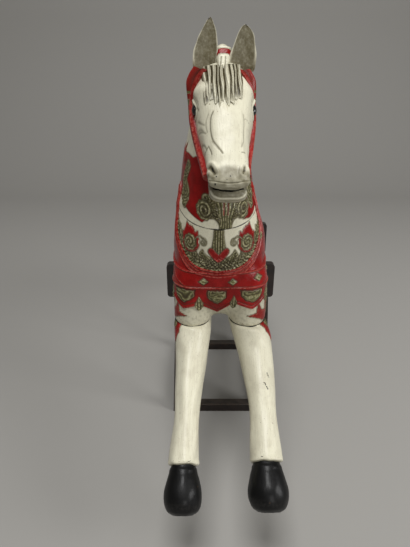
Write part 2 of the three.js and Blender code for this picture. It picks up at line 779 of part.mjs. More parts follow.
// The origin is on the floor, under the middle of the whole work.
const bounds = new THREE.Box3().setFromObject(carousel);
const middle = bounds.getCenter(point(0, 0, 0));
carousel.position.set(-middle.x, -middle.y, -bounds.min.z);

export default carousel;
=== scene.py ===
"""Carved and painted finish for the carousel horse and its timber stand.

Lengths inside the shape functions are millimetres from the horse's own datum; to_frame() brings them
into the frame, in metres. Run as a script: it registers its classes, calls each operator once and
leaves a dressed scene.
"""

import math

import bmesh
import bpy
import numpy as np
from bpy.props import FloatProperty, FloatVectorProperty, PointerProperty
from bpy.types import Operator, Panel, PropertyGroup
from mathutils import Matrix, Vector


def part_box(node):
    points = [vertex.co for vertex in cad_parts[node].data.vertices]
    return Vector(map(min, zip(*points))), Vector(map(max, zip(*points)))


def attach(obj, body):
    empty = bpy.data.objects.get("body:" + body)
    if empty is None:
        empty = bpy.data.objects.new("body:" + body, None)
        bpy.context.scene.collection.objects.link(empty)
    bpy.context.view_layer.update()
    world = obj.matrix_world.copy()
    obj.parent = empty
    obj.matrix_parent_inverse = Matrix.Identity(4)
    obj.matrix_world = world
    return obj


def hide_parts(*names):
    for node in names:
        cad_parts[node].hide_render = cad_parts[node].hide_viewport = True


bl_info = {
    "name": "Carousel Horse Finish",
    "version": (1, 0, 0),
    "blender": (4, 5, 0),
    "location": "3D View > Sidebar > Horse",
    "description": "Builds the carved skin, paint, tack and stand finish of the carousel horse",
    "category": "Object",
}

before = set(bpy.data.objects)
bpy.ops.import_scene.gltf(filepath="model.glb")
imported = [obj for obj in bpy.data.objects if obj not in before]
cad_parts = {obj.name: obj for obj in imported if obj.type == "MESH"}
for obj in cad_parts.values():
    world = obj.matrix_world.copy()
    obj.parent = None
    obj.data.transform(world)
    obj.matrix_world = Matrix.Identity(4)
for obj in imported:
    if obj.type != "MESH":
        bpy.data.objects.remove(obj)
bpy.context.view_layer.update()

# ------------------------------------------------------------------ datum

MM = 0.001
FRONT_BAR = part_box("front_cross_bar")
BAR_FACE = -233.5        # the front bar's near face, from the stand's middle
BAR_MIDDLE = 10.0        # the stand's middle line, from the zero line
HORSE_OFFSET = -4.0      # the horse's middle line, from the zero line
ZERO = np.array([
    (FRONT_BAR[0][0] + FRONT_BAR[1][0]) / 2 / MM - BAR_MIDDLE,
    FRONT_BAR[0][1] / MM - BAR_FACE,
    0.0,
])
HORSE_ZERO = ZERO + np.array([HORSE_OFFSET, 0.0, 0.0])

# ------------------------------------------------------------------ driving sizes, millimetres

BLEND = 14.0             # how softly two limbs flow into each other
SEAM_Y, SEAM_Z = -465.0, 838.0                  # a place on the neck joint's plane
SEAM_SLOPE = math.tan(math.radians(20))
JOINT_GAP = 0.3
FORE_SEAM, HIND_SEAM = 535.0, 545.0             # heights of the leg joints
NOSE_AXIS, TAIL_AXIS = (-330.0, 735.0), (250.0, 755.0)      # ends of the trunk's inner axis, y and z
ARC = 230.0              # girdle length given to each quarter turn of the breast
CENTRE = -9.0            # the carver's middle line on the breast
NECK_MIDDLE = 20.0       # the ornament's middle line on the neck, set a little to the left
BAND_LOW, BAND_HIGH = 663.0, 713.0
POLL_Y, POLL_Z = -448.5, 1238.0
FACE_SLOPE = math.radians(48.9)
HEAD_TURN = 0.028
NECK_LEAN = -12.0
EYE = (90.0, 46.0)       # the eyes' place: down the face, and back from it
HIP = (318.0, 742.0)     # the middle of the haunch's rosette, y and z
LEG_RUN = 560.0          # length of a leg from its joint to the hoof
BARE, FILLED = -20.0, 20.0      # how far outside or inside a paint a place is at the most
AWAY = 1e3               # an offset that takes a place out of every tool's reach


def limb(start, end, radii, widths):
    """One row of a body: the axis' two ends, and at each end the radius and the half-width."""
    return [*start, *end, *radii, *widths]


def both_sides(item):
    """A limb on the left and its mirror image on the right."""
    other = list(item)
    other[0], other[3] = -other[0], -other[3]
    return [item, other]


BARREL = [
    limb((0, -285, 745), (0, 225, 752), (158, 156), (141, 143)),
    limb((-6, -345, 800), (0, -350, 650), (116, 112), (122, 125)),
    limb((0, 225, 765), (0, 262, 772), (142, 132), (138, 130)),
    *both_sides(limb((58, 232, 735), (74, 296, 668), (124, 100), (80, 70))),
]
LEG_ROOTS = [
    *both_sides(limb((80, 300, 660), (91, 349, 556), (84, 61), (64, 54))),
    *both_sides(limb((80, -392, 660), (85, -401, 548), (64, 60), (55, 54))),
]
ROOT_TOPS = [
    *both_sides(limb((80, 300, 660), (81, 302, 656), (84, 84), (64, 64))),
    *both_sides(limb((80, -392, 660), (80, -392, 656), (64, 64), (55, 55))),
]
NECK = [
    limb((-12, -285, 880), (-12, -275, 985), (164, 130), (118, 93)),
    limb((-12, -275, 985), (-5, -288, 1095), (130, 112), (93, 76)),
    limb((-5, -288, 1095), (-3, -345, 1180), (112, 92), (76, 60)),
]
BODY = np.array(BARREL + LEG_ROOTS + NECK, float)
TRUNK = np.array(BARREL + ROOT_TOPS + NECK, float)

# Stations are carried over a smooth curve. Neck: y, z, tilt in degrees.
NECK_SPINE = [
    [-302, 897.3, 20], [-286, 965, 16], [-280, 1020, 6], [-284, 1085, 12],
    [-310, 1145, 34], [-358, 1187, 58], [-410, 1196, 80],
]
# Skull: down the face, depth of the face, depth of the jaw line, half-width, squareness.
HEAD_STATIONS = [
    [-52, 62, 112, 24, 2], [-40, 28, 142, 52, 2.1], [-16, 8, 164, 68, 2.2], [20, -4, 172, 73, 2.3],
    [60, -10, 172, 73, 2.4], [105, -11, 166, 71, 2.5], [150, -10, 150, 65, 2.6], [195, -7, 124, 57, 2.7],
    [232, -5, 92, 50, 2.8], [262, -5, 60, 46, 2.8], [288, -5, 42, 46, 2.7], [307, -3, 28, 42, 2.5],
    [317, 5, 19, 22, 2.2],
]
# Lower jaw: down the face, depth of its middle, half-depth, half-width, squareness.
JAW_STATIONS = [
    [140, 116, 34, 44, 2.2], [190, 95, 30, 45, 2.3], [240, 78, 26, 44, 2.5], [272, 69, 22, 43, 2.6],
    [294, 60, 24, 43, 2.6], [312, 51, 23, 42, 2.5], [324, 47, 16, 34, 2.3], [329, 46, 8, 17, 2.1],
]
# Legs: y, z, tilt in degrees, half-depth, half-width, distance out on the right and on the left.
FORELEG = [
    [-401, 535, 0, 66, 56, 85, 87], [-430, 498, 34, 61, 55, 84, 96], [-492, 448, 57, 52, 48, 87, 107],
    [-582, 394, 59, 46, 38.5, 93, 113], [-660, 346, 59, 38, 35, 97, 114.5],
    [-730, 302, 57, 40, 39.5, 101.5, 114], [-750, 290, 56, 38, 38, 102, 113],
]
HINDLEG = [
    [346, 545, 0, 66, 54, 91, 91], [378, 506, -34, 62, 53, 92, 92], [440, 458, -56, 52, 46, 95, 95],
    [540, 410, -60, 47, 39, 99, 99], [620, 364, -60, 37, 35.5, 102, 102],
    [690, 324, -58, 39, 38, 105, 105], [712, 311, -57, 37, 36.5, 106, 106],
]
# Each leg: its stations, side, how much higher it ends, stoutness and the seed of its unevenness.
LEGS = {
    "foreleg_right": (FORELEG, -1, 0, 1.0, 31),
    "foreleg_left": (FORELEG, 1, 12, 1.06, 32),
    "hindleg_right": (HINDLEG, -1, 0, 1.0, 33),
    "hindleg_left": (HINDLEG, 1, 6, 1.0, 34),
}
# Scratches of each foreleg, by side: along the leg, and round it from its front.
SCRATCHES = {
    1: [[(252, -16), (262, -20)], [(274, 4), (278, -6), (288, -10), (298, -16)], [(500, 20), (508, 16)]],
    -1: [[(506, -26), (530, -15)], [(526, 14), (533, 6), (528, -4)]],
}
# Hoof: distance down, half-depth, half-width.
HOOF = [
    [-6, 30, 30], [8, 34, 34], [32, 42, 42], [60, 47.5, 48], [84, 46, 47], [102, 38, 39], [111, 24, 26],
]
# Ears: half-width, height, thickness, distance from the middle line.
RIGHT_EAR = [
    [26, 0, 13, -48.5], [27, 12, 12, -46.5], [26.5, 38, 10, -45], [22, 62, 8, -42], [16, 86, 6, -37.5],
    [4, 113, 4, -34],
]
LEFT_EAR = [
    [31, 0, 13, 39], [33, 9, 12, 40], [31, 33, 10, 43.5], [25, 57, 8, 46.5], [18, 80, 6, 48.5],
    [5, 98, 4, 47],
]
# Cheek straps: down the face, and back from it.
CHEEK_RIGHT = [[0, 22], [14, 34], [32, 46], [62, 62], [100, 68], [150, 66], [200, 58], [245, 46], [276, 38]]
CHEEK_LEFT = [[4, 20], [16, 28], [36, 38], [62, 56], [100, 67], [150, 65], [200, 57], [245, 46], [276, 38]]
# Tail: y, z, radius.
TAIL = [
    [360, 835, 26], [408, 838, 34], [448, 790, 40], [466, 715, 42], [474, 630, 38], [488, 550, 28],
    [508, 488, 12],
]
# Lappets' lower edge: travel and height, with tips and valleys in turn between its ends.
LAPPET_EDGE = [
    [-315, 618], [-300, 611], [-250, 634], [-200, 604], [-150, 627], [-97, 594], [-56, 610], [-4, 571],
    [50, 614], [99, 595], [150, 627], [200, 604], [250, 634], [300, 611], [333, 626],
]
# Collar strap: distance from the middle line, and height.
COLLAR_LINE = [
    [0, 708], [62, 716], [112, 742], [149, 779], [173, 821], [190, 868], [207, 905], [236, 936],
]
# Upper edge of the neck's white foot: place across, and height over the joint.
FOOT_EDGE = [
    [-180, 30], [-140, 23], [-108, 17], [-74, 11], [-60, 21], [-48, 27], [-23, 29], [22, 21], [35, 25],
    [50, 22], [62, 11], [97, 4], [130, 6], [190, 20],
]
# Grooves of the face: a path of places across and down, then depth, width and share of dark glaze.
FACE_GROOVES = [
    ([(-29, 136), (-35, 150), (-37, 172), (-34, 198), (-28, 214), (-19, 229), (-12, 241)], 1.7, 1.7, 0.85),
    ([(39, 138), (40, 160), (38, 182), (36, 204), (30, 222)], 0.9, 1.6, 0.45),
    ([(-40, 138), (-45, 152), (-46, 166), (-43, 182)], 0.7, 1.3, 0.5),
    ([(-63, 134), (-58, 146), (-49, 160)], 0.9, 1.3, 0.6),
    ([(-66, 150), (-58, 160), (-52, 172)], 0.6, 1.2, 0.45),
    ([(-34, 206), (-29, 218), (-20, 231)], 0.8, 1.2, 0.55),
    ([(-56, 196), (-50, 207), (-45, 222)], 0.9, 1.3, 0.6),
    ([(40, 150), (46, 146), (52, 150)], 0.6, 1.2, 0.5),
    ([(-42, 216), (-38, 227), (-35, 240)], 1.2, 1.3, 0.8),
    ([(-42, 216), (-50, 226)], 1.0, 1.3, 0.8),
    ([(30, 236), (38, 233)], 1.0, 1.3, 0.8),
    ([(-61, 162), (-47, 181)], 0.9, 1.2, 0.7),
    ([(-74, 92), (-65, 98), (-61, 110)], 1.0, 1.3, 0.7),
    ([(48, 168), (58, 168)], 0.7, 1.1, 0.5),
]

# ------------------------------------------------------------------ arithmetic


def smooth(value, low, high):
    """Smooth step: 0 below low, 1 above high, and t squared times (3 - 2 t) between."""
    t = np.clip((value - low) / (high - low), 0, 1)
    return t * t * (3 - 2 * t)


def mix(a, b, t):
    """The value a share t of the way from a to b."""
    return a + (b - a) * t


def hump(offset, width):
    """A rounded ridge: exp of minus (offset / width) squared."""
    return np.exp(-(offset / width) ** 2)


def bump(u, v, place, size):
    """A round swelling: exp of minus the scaled distance squared."""
    return np.exp(-(((u - place[0]) / size[0]) ** 2 + ((v - place[1]) / size[1]) ** 2))


def sheet(rows, columns):
    """Two parameters from 0 to 1 over a grid: along its rows, and across its columns."""
    return np.broadcast_arrays(np.linspace(0, 1, rows)[:, None], np.linspace(0, 1, columns)[None, :])


def around(count):
    """The angles of a full turn, as one row."""
    return (np.arange(count) / count * 2 * math.pi)[None, :]


def rounded(angle, power):
    """Sine and cosine of an angle, each raised to a power with its sign kept: a superellipse."""
    sine, cosine = np.sin(angle), np.cos(angle)
    return np.sign(sine) * np.abs(sine) ** power, np.sign(cosine) * np.abs(cosine) ** power


def at(x, y, z):
    """Points from their three coordinates."""
    return np.stack(np.broadcast_arrays(x, y, z), axis=-1).astype(float)


def station_curve(stations, t):
    """Each column of the stations runs along a uniform Catmull-Rom curve; t is 0 to 1 over all of them."""
    knots = np.array(stations, float)
    padded = np.concatenate([[2 * knots[0] - knots[1]], knots, [2 * knots[-1] - knots[-2]]])
    place = np.clip(np.asarray(t, float), 0, 1) * (len(knots) - 1)
    index = np.minimum(place.astype(int), len(knots) - 2)
    w = (place - index)[..., None]
    p0, p1, p2, p3 = (padded[index + step] for step in range(4))
    m1, m2 = (p2 - p0) / 2, (p3 - p1) / 2
    curve = (2 * w**3 - 3 * w**2 + 1) * p1 + (w**3 - 2 * w**2 + w) * m1
    curve = curve + (3 * w**2 - 2 * w**3) * p2 + (w**3 - w**2) * m2
    return np.moveaxis(curve, -1, 0)


def station_run(stations, t, step=0.01):
    """Unit direction of the stations' first two columns at t, from a central difference."""
    ahead = station_curve(stations, np.minimum(t + step, 1))
    behind = station_curve(stations, np.maximum(t - step, 0))
    du, dv = ahead[0] - behind[0], ahead[1] - behind[1]
    run = np.hypot(du, dv)
    return du / run, dv / run


def field(points, limbs):
    """Smooth union of limbs. Each limb's value is the length of the offset from its axis, with X scaled
    by radius over width, less its radius; the union is the least value less BLEND times the log of the
    sum of exp((least - value) / BLEND)."""
    start, end = limbs[:, 0:3], limbs[:, 3:6]
    along = end - start
    x, y, z = (points[..., None, axis] - start[:, axis] for axis in range(3))
    share = (y * along[:, 1] + z * along[:, 2]) / (along[:, 1] ** 2 + along[:, 2] ** 2)
    share = np.clip(share, 0, 1)
    radius = mix(limbs[:, 6], limbs[:, 7], share)
    width = mix(limbs[:, 8], limbs[:, 9], share)
    dx = (x - share * along[:, 0]) * radius / width
    dy = y - share * along[:, 1]
    dz = z - share * along[:, 2]
    values = np.sqrt(dx * dx + dy * dy + dz * dz) - radius
    least = values.min(-1)
    return least - BLEND * np.log(np.exp((least[..., None] - values) / BLEND).sum(-1))


def cast(limbs, origin, direction, reach):
    """Points where rays from inside leave the limbs, by halving; a ray goes no further than its reach."""
    origin, direction = np.broadcast_arrays(origin, direction)
    inside = np.zeros(origin.shape[:-1])
    outside = np.broadcast_to(np.asarray(reach, float), inside.shape).copy()
    clear = field(origin + direction * outside[..., None], limbs) < 0
    for _ in range(15):
        middle = (inside + outside) / 2
        within = field(origin + direction * middle[..., None], limbs) < 0
        inside = np.where(within, middle, inside)
        outside = np.where(within, outside, middle)
    inside = np.where(clear, np.broadcast_to(reach, inside.shape), inside)
    return origin + direction * inside[..., None]


def undulation(points, wavelength, seed):
    """Gentle hand-cut unevenness: the mean of ten sine waves with seeded directions and phases."""
    draw = np.random.default_rng(seed)
    ways = draw.normal(size=(10, 3))
    ways *= (2 * math.pi / wavelength) * (0.7 + 0.6 * draw.random((10, 1))) / np.linalg.norm(
        ways, axis=1, keepdims=True)
    phases = draw.random(10) * 2 * math.pi
    total = sum(np.sin(points @ way + phase) for way, phase in zip(ways, phases))
    return total / math.sqrt(10)


def grid_normals(points):
    """Unit normals of a grid whose columns close: the cross product of its two central differences,
    turned outwards."""
    along = np.gradient(points, axis=0)
    across = np.roll(points, -1, axis=1) - np.roll(points, 1, axis=1)
    normals = np.cross(along, across)
    normals /= np.maximum(np.linalg.norm(normals, axis=-1, keepdims=True), 1e-9)
    outward = ((points - points.mean(axis=1, keepdims=True)) * normals).sum()
    return normals if outward >= 0 else -normals


def carved(points, made):
    """The points moved along their normals by the carving's lift."""
    return points + grid_normals(points) * made.lift[..., None]


# ------------------------------------------------------------------ flat shapes for carving and paint


def disc(u, v, centre, radius):
    """Distance inside a disc: radius less the distance to its centre."""
    return radius - np.hypot(u - centre[0], v - centre[1])


def stroke(u, v, path, widths):
    """Distance inside a stroke whose half-width runs along a path of straight runs. Also gives the
    share of the path passed and the signed offset, positive to the left of the path's run."""
    path = np.array(path, float)
    widths = np.interp(np.linspace(0, 1, len(path)), np.linspace(0, 1, len(widths)), widths)
    best = np.full(u.shape, 1e9)
    inside = np.full(u.shape, -1e9)
    share = np.zeros(u.shape)
    offset = np.zeros(u.shape)
    steps = np.linalg.norm(np.diff(path, axis=0), axis=1)
    marks = np.concatenate([[0], np.cumsum(steps)]) / steps.sum()
    for index in range(len(path) - 1):
        a, b = path[index], path[index + 1]
        run = b - a
        du, dv = u - a[0], v - a[1]
        h = np.clip((du * run[0] + dv * run[1]) / (run @ run), 0, 1)
        gap = np.hypot(du - h * run[0], dv - h * run[1])
        near = gap < best
        best = np.where(near, gap, best)
        share = np.where(near, mix(marks[index], marks[index + 1], h), share)
        side = np.sign(run[0] * dv - run[1] * du)
        offset = np.where(near, side * gap, offset)
        inside = np.maximum(inside, mix(widths[index], widths[index + 1], h) - gap)
    return inside, share, offset


def curved(stations, count=24):
    """A smooth path of points through a few stations."""
    return np.stack(station_curve(stations, np.linspace(0, 1, count)), axis=-1)


def curl(centre, radius, start, turns, hand=1, inner=0.18, count=40):
    """A spiral path: the radius shrinks from full to its inner share while the angle turns."""
    t = np.linspace(0, 1, count)
    angle = math.radians(start) + hand * t * turns * 2 * math.pi
    reach = radius * mix(1, inner, t**0.85)
    return np.stack([centre[0] + reach * np.cos(angle), centre[1] + reach * np.sin(angle)], axis=-1)


PAINTS = ("red", "gilt", "black")
# the glaze mark also carries painted shade, and the worn mark painted highlight and sheen
MARKS = (*PAINTS, "glaze_and_shading", "wear_and_highlight")


class Carving:
    """What carver and painter did at each point: the lift in millimetres, how far inside each paint the
    point lies in millimetres, a share from 0 to 1 of dark glaze together with painted shade, and a share
    of rubbed edge together with painted highlight."""

    def __init__(self, shape, ground=None):
        self.lift = np.zeros(shape)
        self.glaze_and_shading = np.zeros(shape)
        self.wear_and_highlight = np.zeros(shape)
        for name in PAINTS:
            setattr(self, name, np.full(shape, FILLED if name == ground else BARE))

    def darken(self, share):
        """Lays dark glaze together with painted shade where there is less of it."""
        self.glaze_and_shading = np.maximum(self.glaze_and_shading, share)

    def rub_and_highlight(self, share):
        """Lays rubbed paint together with painted highlight where there is less of it."""
        self.wear_and_highlight = np.maximum(self.wear_and_highlight, share)

    def relief(self, inside, height, edge=2.5):
        """Raises a form by a smooth step of the given width from its outline, with a pale rim of rubbed
        paint and painted highlight, and a dark foot of glaze."""
        self.lift += height * smooth(inside, -0.3 * edge, edge)
        self.rub_and_highlight(0.75 * hump(inside - edge, 1.6))
        self.darken(0.95 * hump(inside + 0.9, 1.5))

    def cut(self, distance, depth, width, glaze_and_shading=0.9):
        """Cuts a rounded groove: depth times exp(-(distance / width) squared)."""
        share = hump(distance, width)
        self.lift -= depth * share
        self.darken(share * glaze_and_shading)

    def paint(self, kind, inside):
        """Lays one paint over those below it; white, the ground, only covers them."""
        inside = np.clip(inside, BARE, FILLED)
        for name in PAINTS:
            value = getattr(self, name)
            if name == kind:
                setattr(self, name, np.maximum(value, inside))
            else:
                setattr(self, name, np.minimum(value, -inside))

    def clear(self, inside):
        """Planes a form flat again before it gets carving of its own."""
        keep = 1 - smooth(inside, -0.5, 1.5)
        self.lift *= keep
        self.glaze_and_shading *= keep
        self.wear_and_highlight *= keep

    def ribs(self, inside, phase, depth=0.9):
        """Cuts ribs inside a form, as a cosine of the phase in turns, with glaze in the hollows and pale
        crests of rubbed paint and painted highlight.
        """
        wave = 0.5 - 0.5 * np.cos(phase * 2 * math.pi)
        within = smooth(inside, 0.5, 2.5)
        self.lift -= depth * within * (1 - wave)
        self.darken(within * (1 - wave) ** 1.6)
        self.rub_and_highlight(within * wave**3 * 0.95)


# ------------------------------------------------------------------ meshes


class Skin:
    """A closed grid of points with its carving and the places that its grain is read from. Rows are
    rings; both ends close on a middle point."""

    def __init__(self, points, carving, grain=None):
        self.points = points
        self.carving = carving
        self.grain = points if grain is None else grain


def skin_faces(rows, columns):
    """Quads between rows and a fan at each end, on vertices laid row by row with two end points last."""
    index = np.arange(rows * columns).reshape(rows, columns)
    after = np.roll(index, -1, axis=1)
    quads = np.stack([index[:-1], after[:-1], after[1:], index[1:]], axis=-1).reshape(-1, 4)
    start, end = rows * columns, rows * columns + 1
    first = np.stack([after[0], index[0], np.full(columns, start)], axis=-1)
    last = np.stack([index[-1], after[-1], np.full(columns, end)], axis=-1)
    return quads, np.concatenate([first, last])


def signed_volume(verts, quads):
    """Six times the volume under the quads, positive where they face outwards."""
    a, b, c, d = (verts[quads[:, corner]] for corner in range(4))
    return (np.cross(b, c) * a).sum() + (np.cross(c, d) * a).sum()


def with_ends(grid):
    """Grid values as a flat list with the mean of the first and of the last ring after them."""
    flat = grid.reshape(-1, *grid.shape[2:])
    return np.concatenate([flat, grid[0].mean(axis=0)[None], grid[-1].mean(axis=0)[None]])


def to_frame(points, zero):
    """Millimetres from a datum as metres in the frame."""
    return (points + zero) * MM


def build_piece(name, skins, finish, nodes=(), zero=HORSE_ZERO, sharp=40.0):
    """Joins skins into one object, writes their marks as attributes and hands it to the frame. Edges
    sharper than an angle in degrees stay sharp."""
    verts, quads, tris = [], [], []
    base = 0
    for skin in skins:
        own = with_ends(skin.points)
        four, three = skin_faces(*skin.points.shape[:2])
        if signed_volume(own, four) < 0:
            four, three = four[:, ::-1], three[:, ::-1]
        verts.append(own)
        quads.append(four + base)
        tris.append(three + base)
        base += len(own)
    verts = to_frame(np.concatenate(verts), zero)
    quads, tris = np.concatenate(quads), np.concatenate(tris)
    mesh = bpy.data.meshes.new(name)
    mesh.vertices.add(len(verts))
    mesh.vertices.foreach_set("co", verts.ravel())
    mesh.loops.add(quads.size + tris.size)
    mesh.loops.foreach_set("vertex_index", np.concatenate([quads.ravel(), tris.ravel()]))
    starts = np.concatenate([np.arange(len(quads)) * 4, quads.size + np.arange(len(tris)) * 3])
    mesh.polygons.add(len(starts))
    mesh.polygons.foreach_set("loop_start", starts)
    mesh.update(calc_edges=True)
    mesh.polygons.foreach_set("use_smooth", np.ones(len(starts), bool))
    mesh.set_sharp_from_angle(angle=math.radians(sharp))
    for mark in MARKS:
        values = np.concatenate([with_ends(getattr(skin.carving, mark)) for skin in skins])
        layer = mesh.attributes.new(mark, "FLOAT", "POINT")
        layer.data.foreach_set("value", values.astype(np.float32))
    grain = np.concatenate([with_ends(skin.grain) for skin in skins]) * MM
    layer = mesh.attributes.new("grain", "FLOAT_VECTOR", "POINT")
    layer.data.foreach_set("vector", grain.astype(np.float32).ravel())
    mesh.materials.append(finish)
    piece = bpy.data.objects.new(name, mesh)
    bpy.context.collection.objects.link(piece)
    if nodes:
        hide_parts(*nodes)
    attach(piece, "root")
    return piece


def strip(surface, made, depth=7.0, back=6):
    """A carved layer as a closed skin: rows along it, and columns across its face and back underneath.
    surface(a, b, lift) gives points for a and b from 0 to 1."""
    rows, columns = made.lift.shape
    a, b = sheet(rows, columns)
    top = surface(a, b, made.lift)
    a, b = np.broadcast_arrays(a[:, :1], np.linspace(1, 0, back)[None, :])
    under = surface(a, b, np.full(a.shape, -depth))
    whole = Carving((rows, columns + back))
    for mark in MARKS:
        value = getattr(made, mark)
        edge = np.repeat(value[:, -1:], back, axis=1)
        setattr(whole, mark, np.concatenate([value, edge], axis=1))
    return Skin(np.concatenate([top, under], axis=1), whole)


# ------------------------------------------------------------------ trunk


FAN = 0.24               # share of the trunk's rows in each fan
SEAM_ALLOWANCE = 8.0     # wood left above the neck joint, to be cut off
TRUNK_REACH = 420.0


def seam_height(y):
    """Height of the neck joint's plane at a place along the horse."""
    return SEAM_Z + (y - SEAM_Y) * SEAM_SLOPE


def torso_points(u, theta):
    """Rays fan out from the nose of the inner axis, run level with it and fan out at its tail; each ends
    on the trunk or a little above the neck joint. The first and last FAN of u are the two fans."""
    middle = 1 - 2 * FAN
    along = np.clip((u - FAN) / middle, 0, 1)
    polar = np.minimum(u / FAN, 1) + np.maximum((u - FAN - middle) / FAN, 0)
    polar = polar * math.pi / 2
    origin = at(0, mix(NOSE_AXIS[0], TAIL_AXIS[0], along), mix(NOSE_AXIS[1], TAIL_AXIS[1], along))
    direction = at(np.sin(polar) * np.sin(theta), -np.cos(polar), np.sin(polar) * np.cos(theta))
    rise = direction[..., 2] - direction[..., 1] * SEAM_SLOPE
    room = seam_height(origin[..., 1]) + SEAM_ALLOWANCE - origin[..., 2]
    reach = np.where(rise > 1e-3, room / np.maximum(rise, 1e-3), TRUNK_REACH)
    return cast(TRUNK, origin, direction, np.minimum(reach, TRUNK_REACH))


def girdle_place(points):
    """Travel round the breast from the carver's middle line, ARC to each quarter turn and then the plain
    distance back, with the height."""
    x, y, z = (points[..., axis] for axis in range(3))
    middle = NOSE_AXIS[0] + 50 * smooth(z, 850, 960)
    turn = np.arctan2(np.abs(x), np.maximum(middle - y, 1e-6)) * 2 / math.pi
    travel = np.where(y < middle, turn * ARC, ARC + y - middle)
    return np.sign(x) * travel - CENTRE, z


def girdle_point(t, z, lift):
    """The body's skin at a travel and height, lifted along the level ray that finds it."""
    travel = t + CENTRE
    turn = np.clip(travel / ARC, -1, 1) * math.pi / 2
    back = np.maximum(np.abs(travel) - ARC, 0)
    origin = at(0, NOSE_AXIS[0] + back, z)
    direction = at(np.sin(turn), -np.cos(turn), 0)
    return cast(BODY, origin, direction, 300) + direction * lift[..., None]


def back_point(y, angle, lift):
    """The body's skin at a place along the back and an angle from the spine, in degrees."""
    along = (y - NOSE_AXIS[0]) / (TAIL_AXIS[0] - NOSE_AXIS[0])
    origin = at(0, y, mix(NOSE_AXIS[1], TAIL_AXIS[1], along))
    theta = np.radians(angle)
    direction = at(np.sin(theta), 0, np.cos(theta))
    return cast(BODY, origin, direction, 300) + direction * lift[..., None]


def collar_offset(a, z):
    """Signed distance from the collar strap's middle line, positive inside its U, and the length run."""
    path = curved(COLLAR_LINE, 40)
    _, share, offset = stroke(a, z, path, [0.0])
    length = np.linalg.norm(np.diff(path, axis=0), axis=1).sum()
    return offset, share * length


def rosette(made, u, v, centre, radius, arms=2, hand=1):
    """A gilt boss: a low dome with spiral ribs, turns of phase = distance / pitch + angle * arms."""
    r = np.hypot(u - centre[0], v - centre[1])
    angle = np.arctan2(v - centre[1], u - centre[0])
    inside = radius + 1.2 * np.cos(angle * 9) - r
    made.clear(inside)
    made.paint("gilt", inside)
    made.relief(inside, 2.8, 3)
    made.lift += 2.2 * smooth(inside, 2, radius)
    flecks = smooth(undulation(at(u, v, 0), 8, 71), 0.35, 0.8) * smooth(inside, 0.5, 2.5)
    made.rub_and_highlight(0.9 * flecks)
    made.ribs(inside, r / 10.5 + hand * arms * angle / (2 * math.pi), 2.0)


def gilt_leaf(made, u, v, path, widths, pitch=8.5, slant=1.0, height=2.6):
    """A raised gilt leaf along a path, with slanting ribs off its middle vein."""
    path = curved(path, 20)
    inside, share, offset = stroke(u, v, path, widths)
    length = np.linalg.norm(np.diff(path, axis=0), axis=1).sum()
    made.paint("gilt", inside)
    made.relief(inside, height)
    made.ribs(inside, (share * length - slant * np.abs(offset)) / pitch, 1.6)
    made.cut(np.where(inside > 1.5, offset, AWAY), 1.2, 1.4)


def flame(made, u, v, shapes, height=1.8):
    """A raised red flame: the union of strokes."""
    inside = np.max([stroke(u, v, path, widths)[0] for path, widths in shapes], axis=0)
    made.paint("red", inside)
    made.relief(inside, height)
    return inside


def leaf_border(made, points, inner, run, off):
    """Gilt leaves inside the collar, from the distance to its inner edge and the length run along it:
    ribs lean away from a vein, flecks of cream lie on them, and the inner outline is scalloped."""
    width = np.interp(run, [0, 60, 110, 170, 220, 250], [19, 30, 37, 32, 24, 2])
    vein = inner - 0.42 * width
    scallop = 3.2 * np.abs(np.sin(run / 26 * math.pi)) + 1.5 * undulation(points, 14, 61) - 1.5
    inside = np.minimum(inner + 3, width + scallop - inner) - off
    made.paint("gilt", inside)
    made.relief(inside, 2.2)
    wave = 2.5 * np.sin(run / 31 * 2 * math.pi) + 2.2 * undulation(points, 20, 62)
    made.ribs(inside, (run - 0.9 * np.abs(vein) + wave) / 12.5, 2.2)
    flecks = smooth(undulation(points, 9, 63), 0.3, 0.7) * smooth(inside, 0.5, 2.5)
    made.rub_and_highlight(flecks)
    made.glaze_and_shading *= 1 - 0.9 * flecks
    made.cut(np.where(inside > 1, vein, AWAY), 1.6, 1.6)


def breast_ornament(made, t, a, z):
    """Leaves about the heart, then stem, heart, flames, rosettes and curls, in travel t, distance a from
    the middle line and height z."""
    bed = np.minimum(34 - 0.8 * a, np.minimum(z - 722, 764 - z - 0.25 * a))
    made.paint("gilt", bed)
    made.ribs(bed, (z + 0.7 * a) / 10, 1.4)
    gilt_leaf(made, a, z, [(14, 742), (38, 746), (50, 762), (50, 778)], [14, 17, 11, 2])
    gilt_leaf(made, a, z, [(66, 748), (74, 760), (72, 776)], [9, 8, 2])
    half = np.interp(z, [772, 784, 796, 816, 840], [24, 22.5, 19, 15.5, 14.5])
    stem = np.minimum(half - a, z - 770 - 0.6 * a)
    fluted_stem(made, stem, t / 7.4 + 0.5, 2.6, 1.4)
    heart = flame(made, a, z, [([(22, 777), (11, 764), (0, 755)], [10, 10.5, 10])])
    made.glaze_and_shading *= 1 - smooth(heart, 1.0, 3.0)
    flame(made, a, z, [
        ([(92, 800), (98, 820), (113, 849)], [33, 23, 1]),
        ([(74, 812), (68, 828)], [14, 3]),
        ([(112, 806), (126, 822)], [14, 2]),
    ])
    rosette(made, a, z, (92, 797), 23)
    knot = (47, 801)         # middle of the thin gilt curl on a white disc
    made.paint("white", disc(a, z, knot, 15))
    for path in (curl(knot, 12.0, 80, 1.5, 1), [(49, 813), (58, 818), (68, 814), (74, 805)]):
        line = stroke(a, z, path, [1.5, 1.0])[0]
        made.paint("gilt", line)
        made.relief(line, 1.0, 1.0)


def fluted_stem(made, inside, phase, height, depth):
    """A raised gilt stem with flutes that follow the phase in turns."""
    made.clear(inside)
    made.paint("gilt", inside)
    made.relief(inside, height, 3)
    made.ribs(inside, phase, depth)


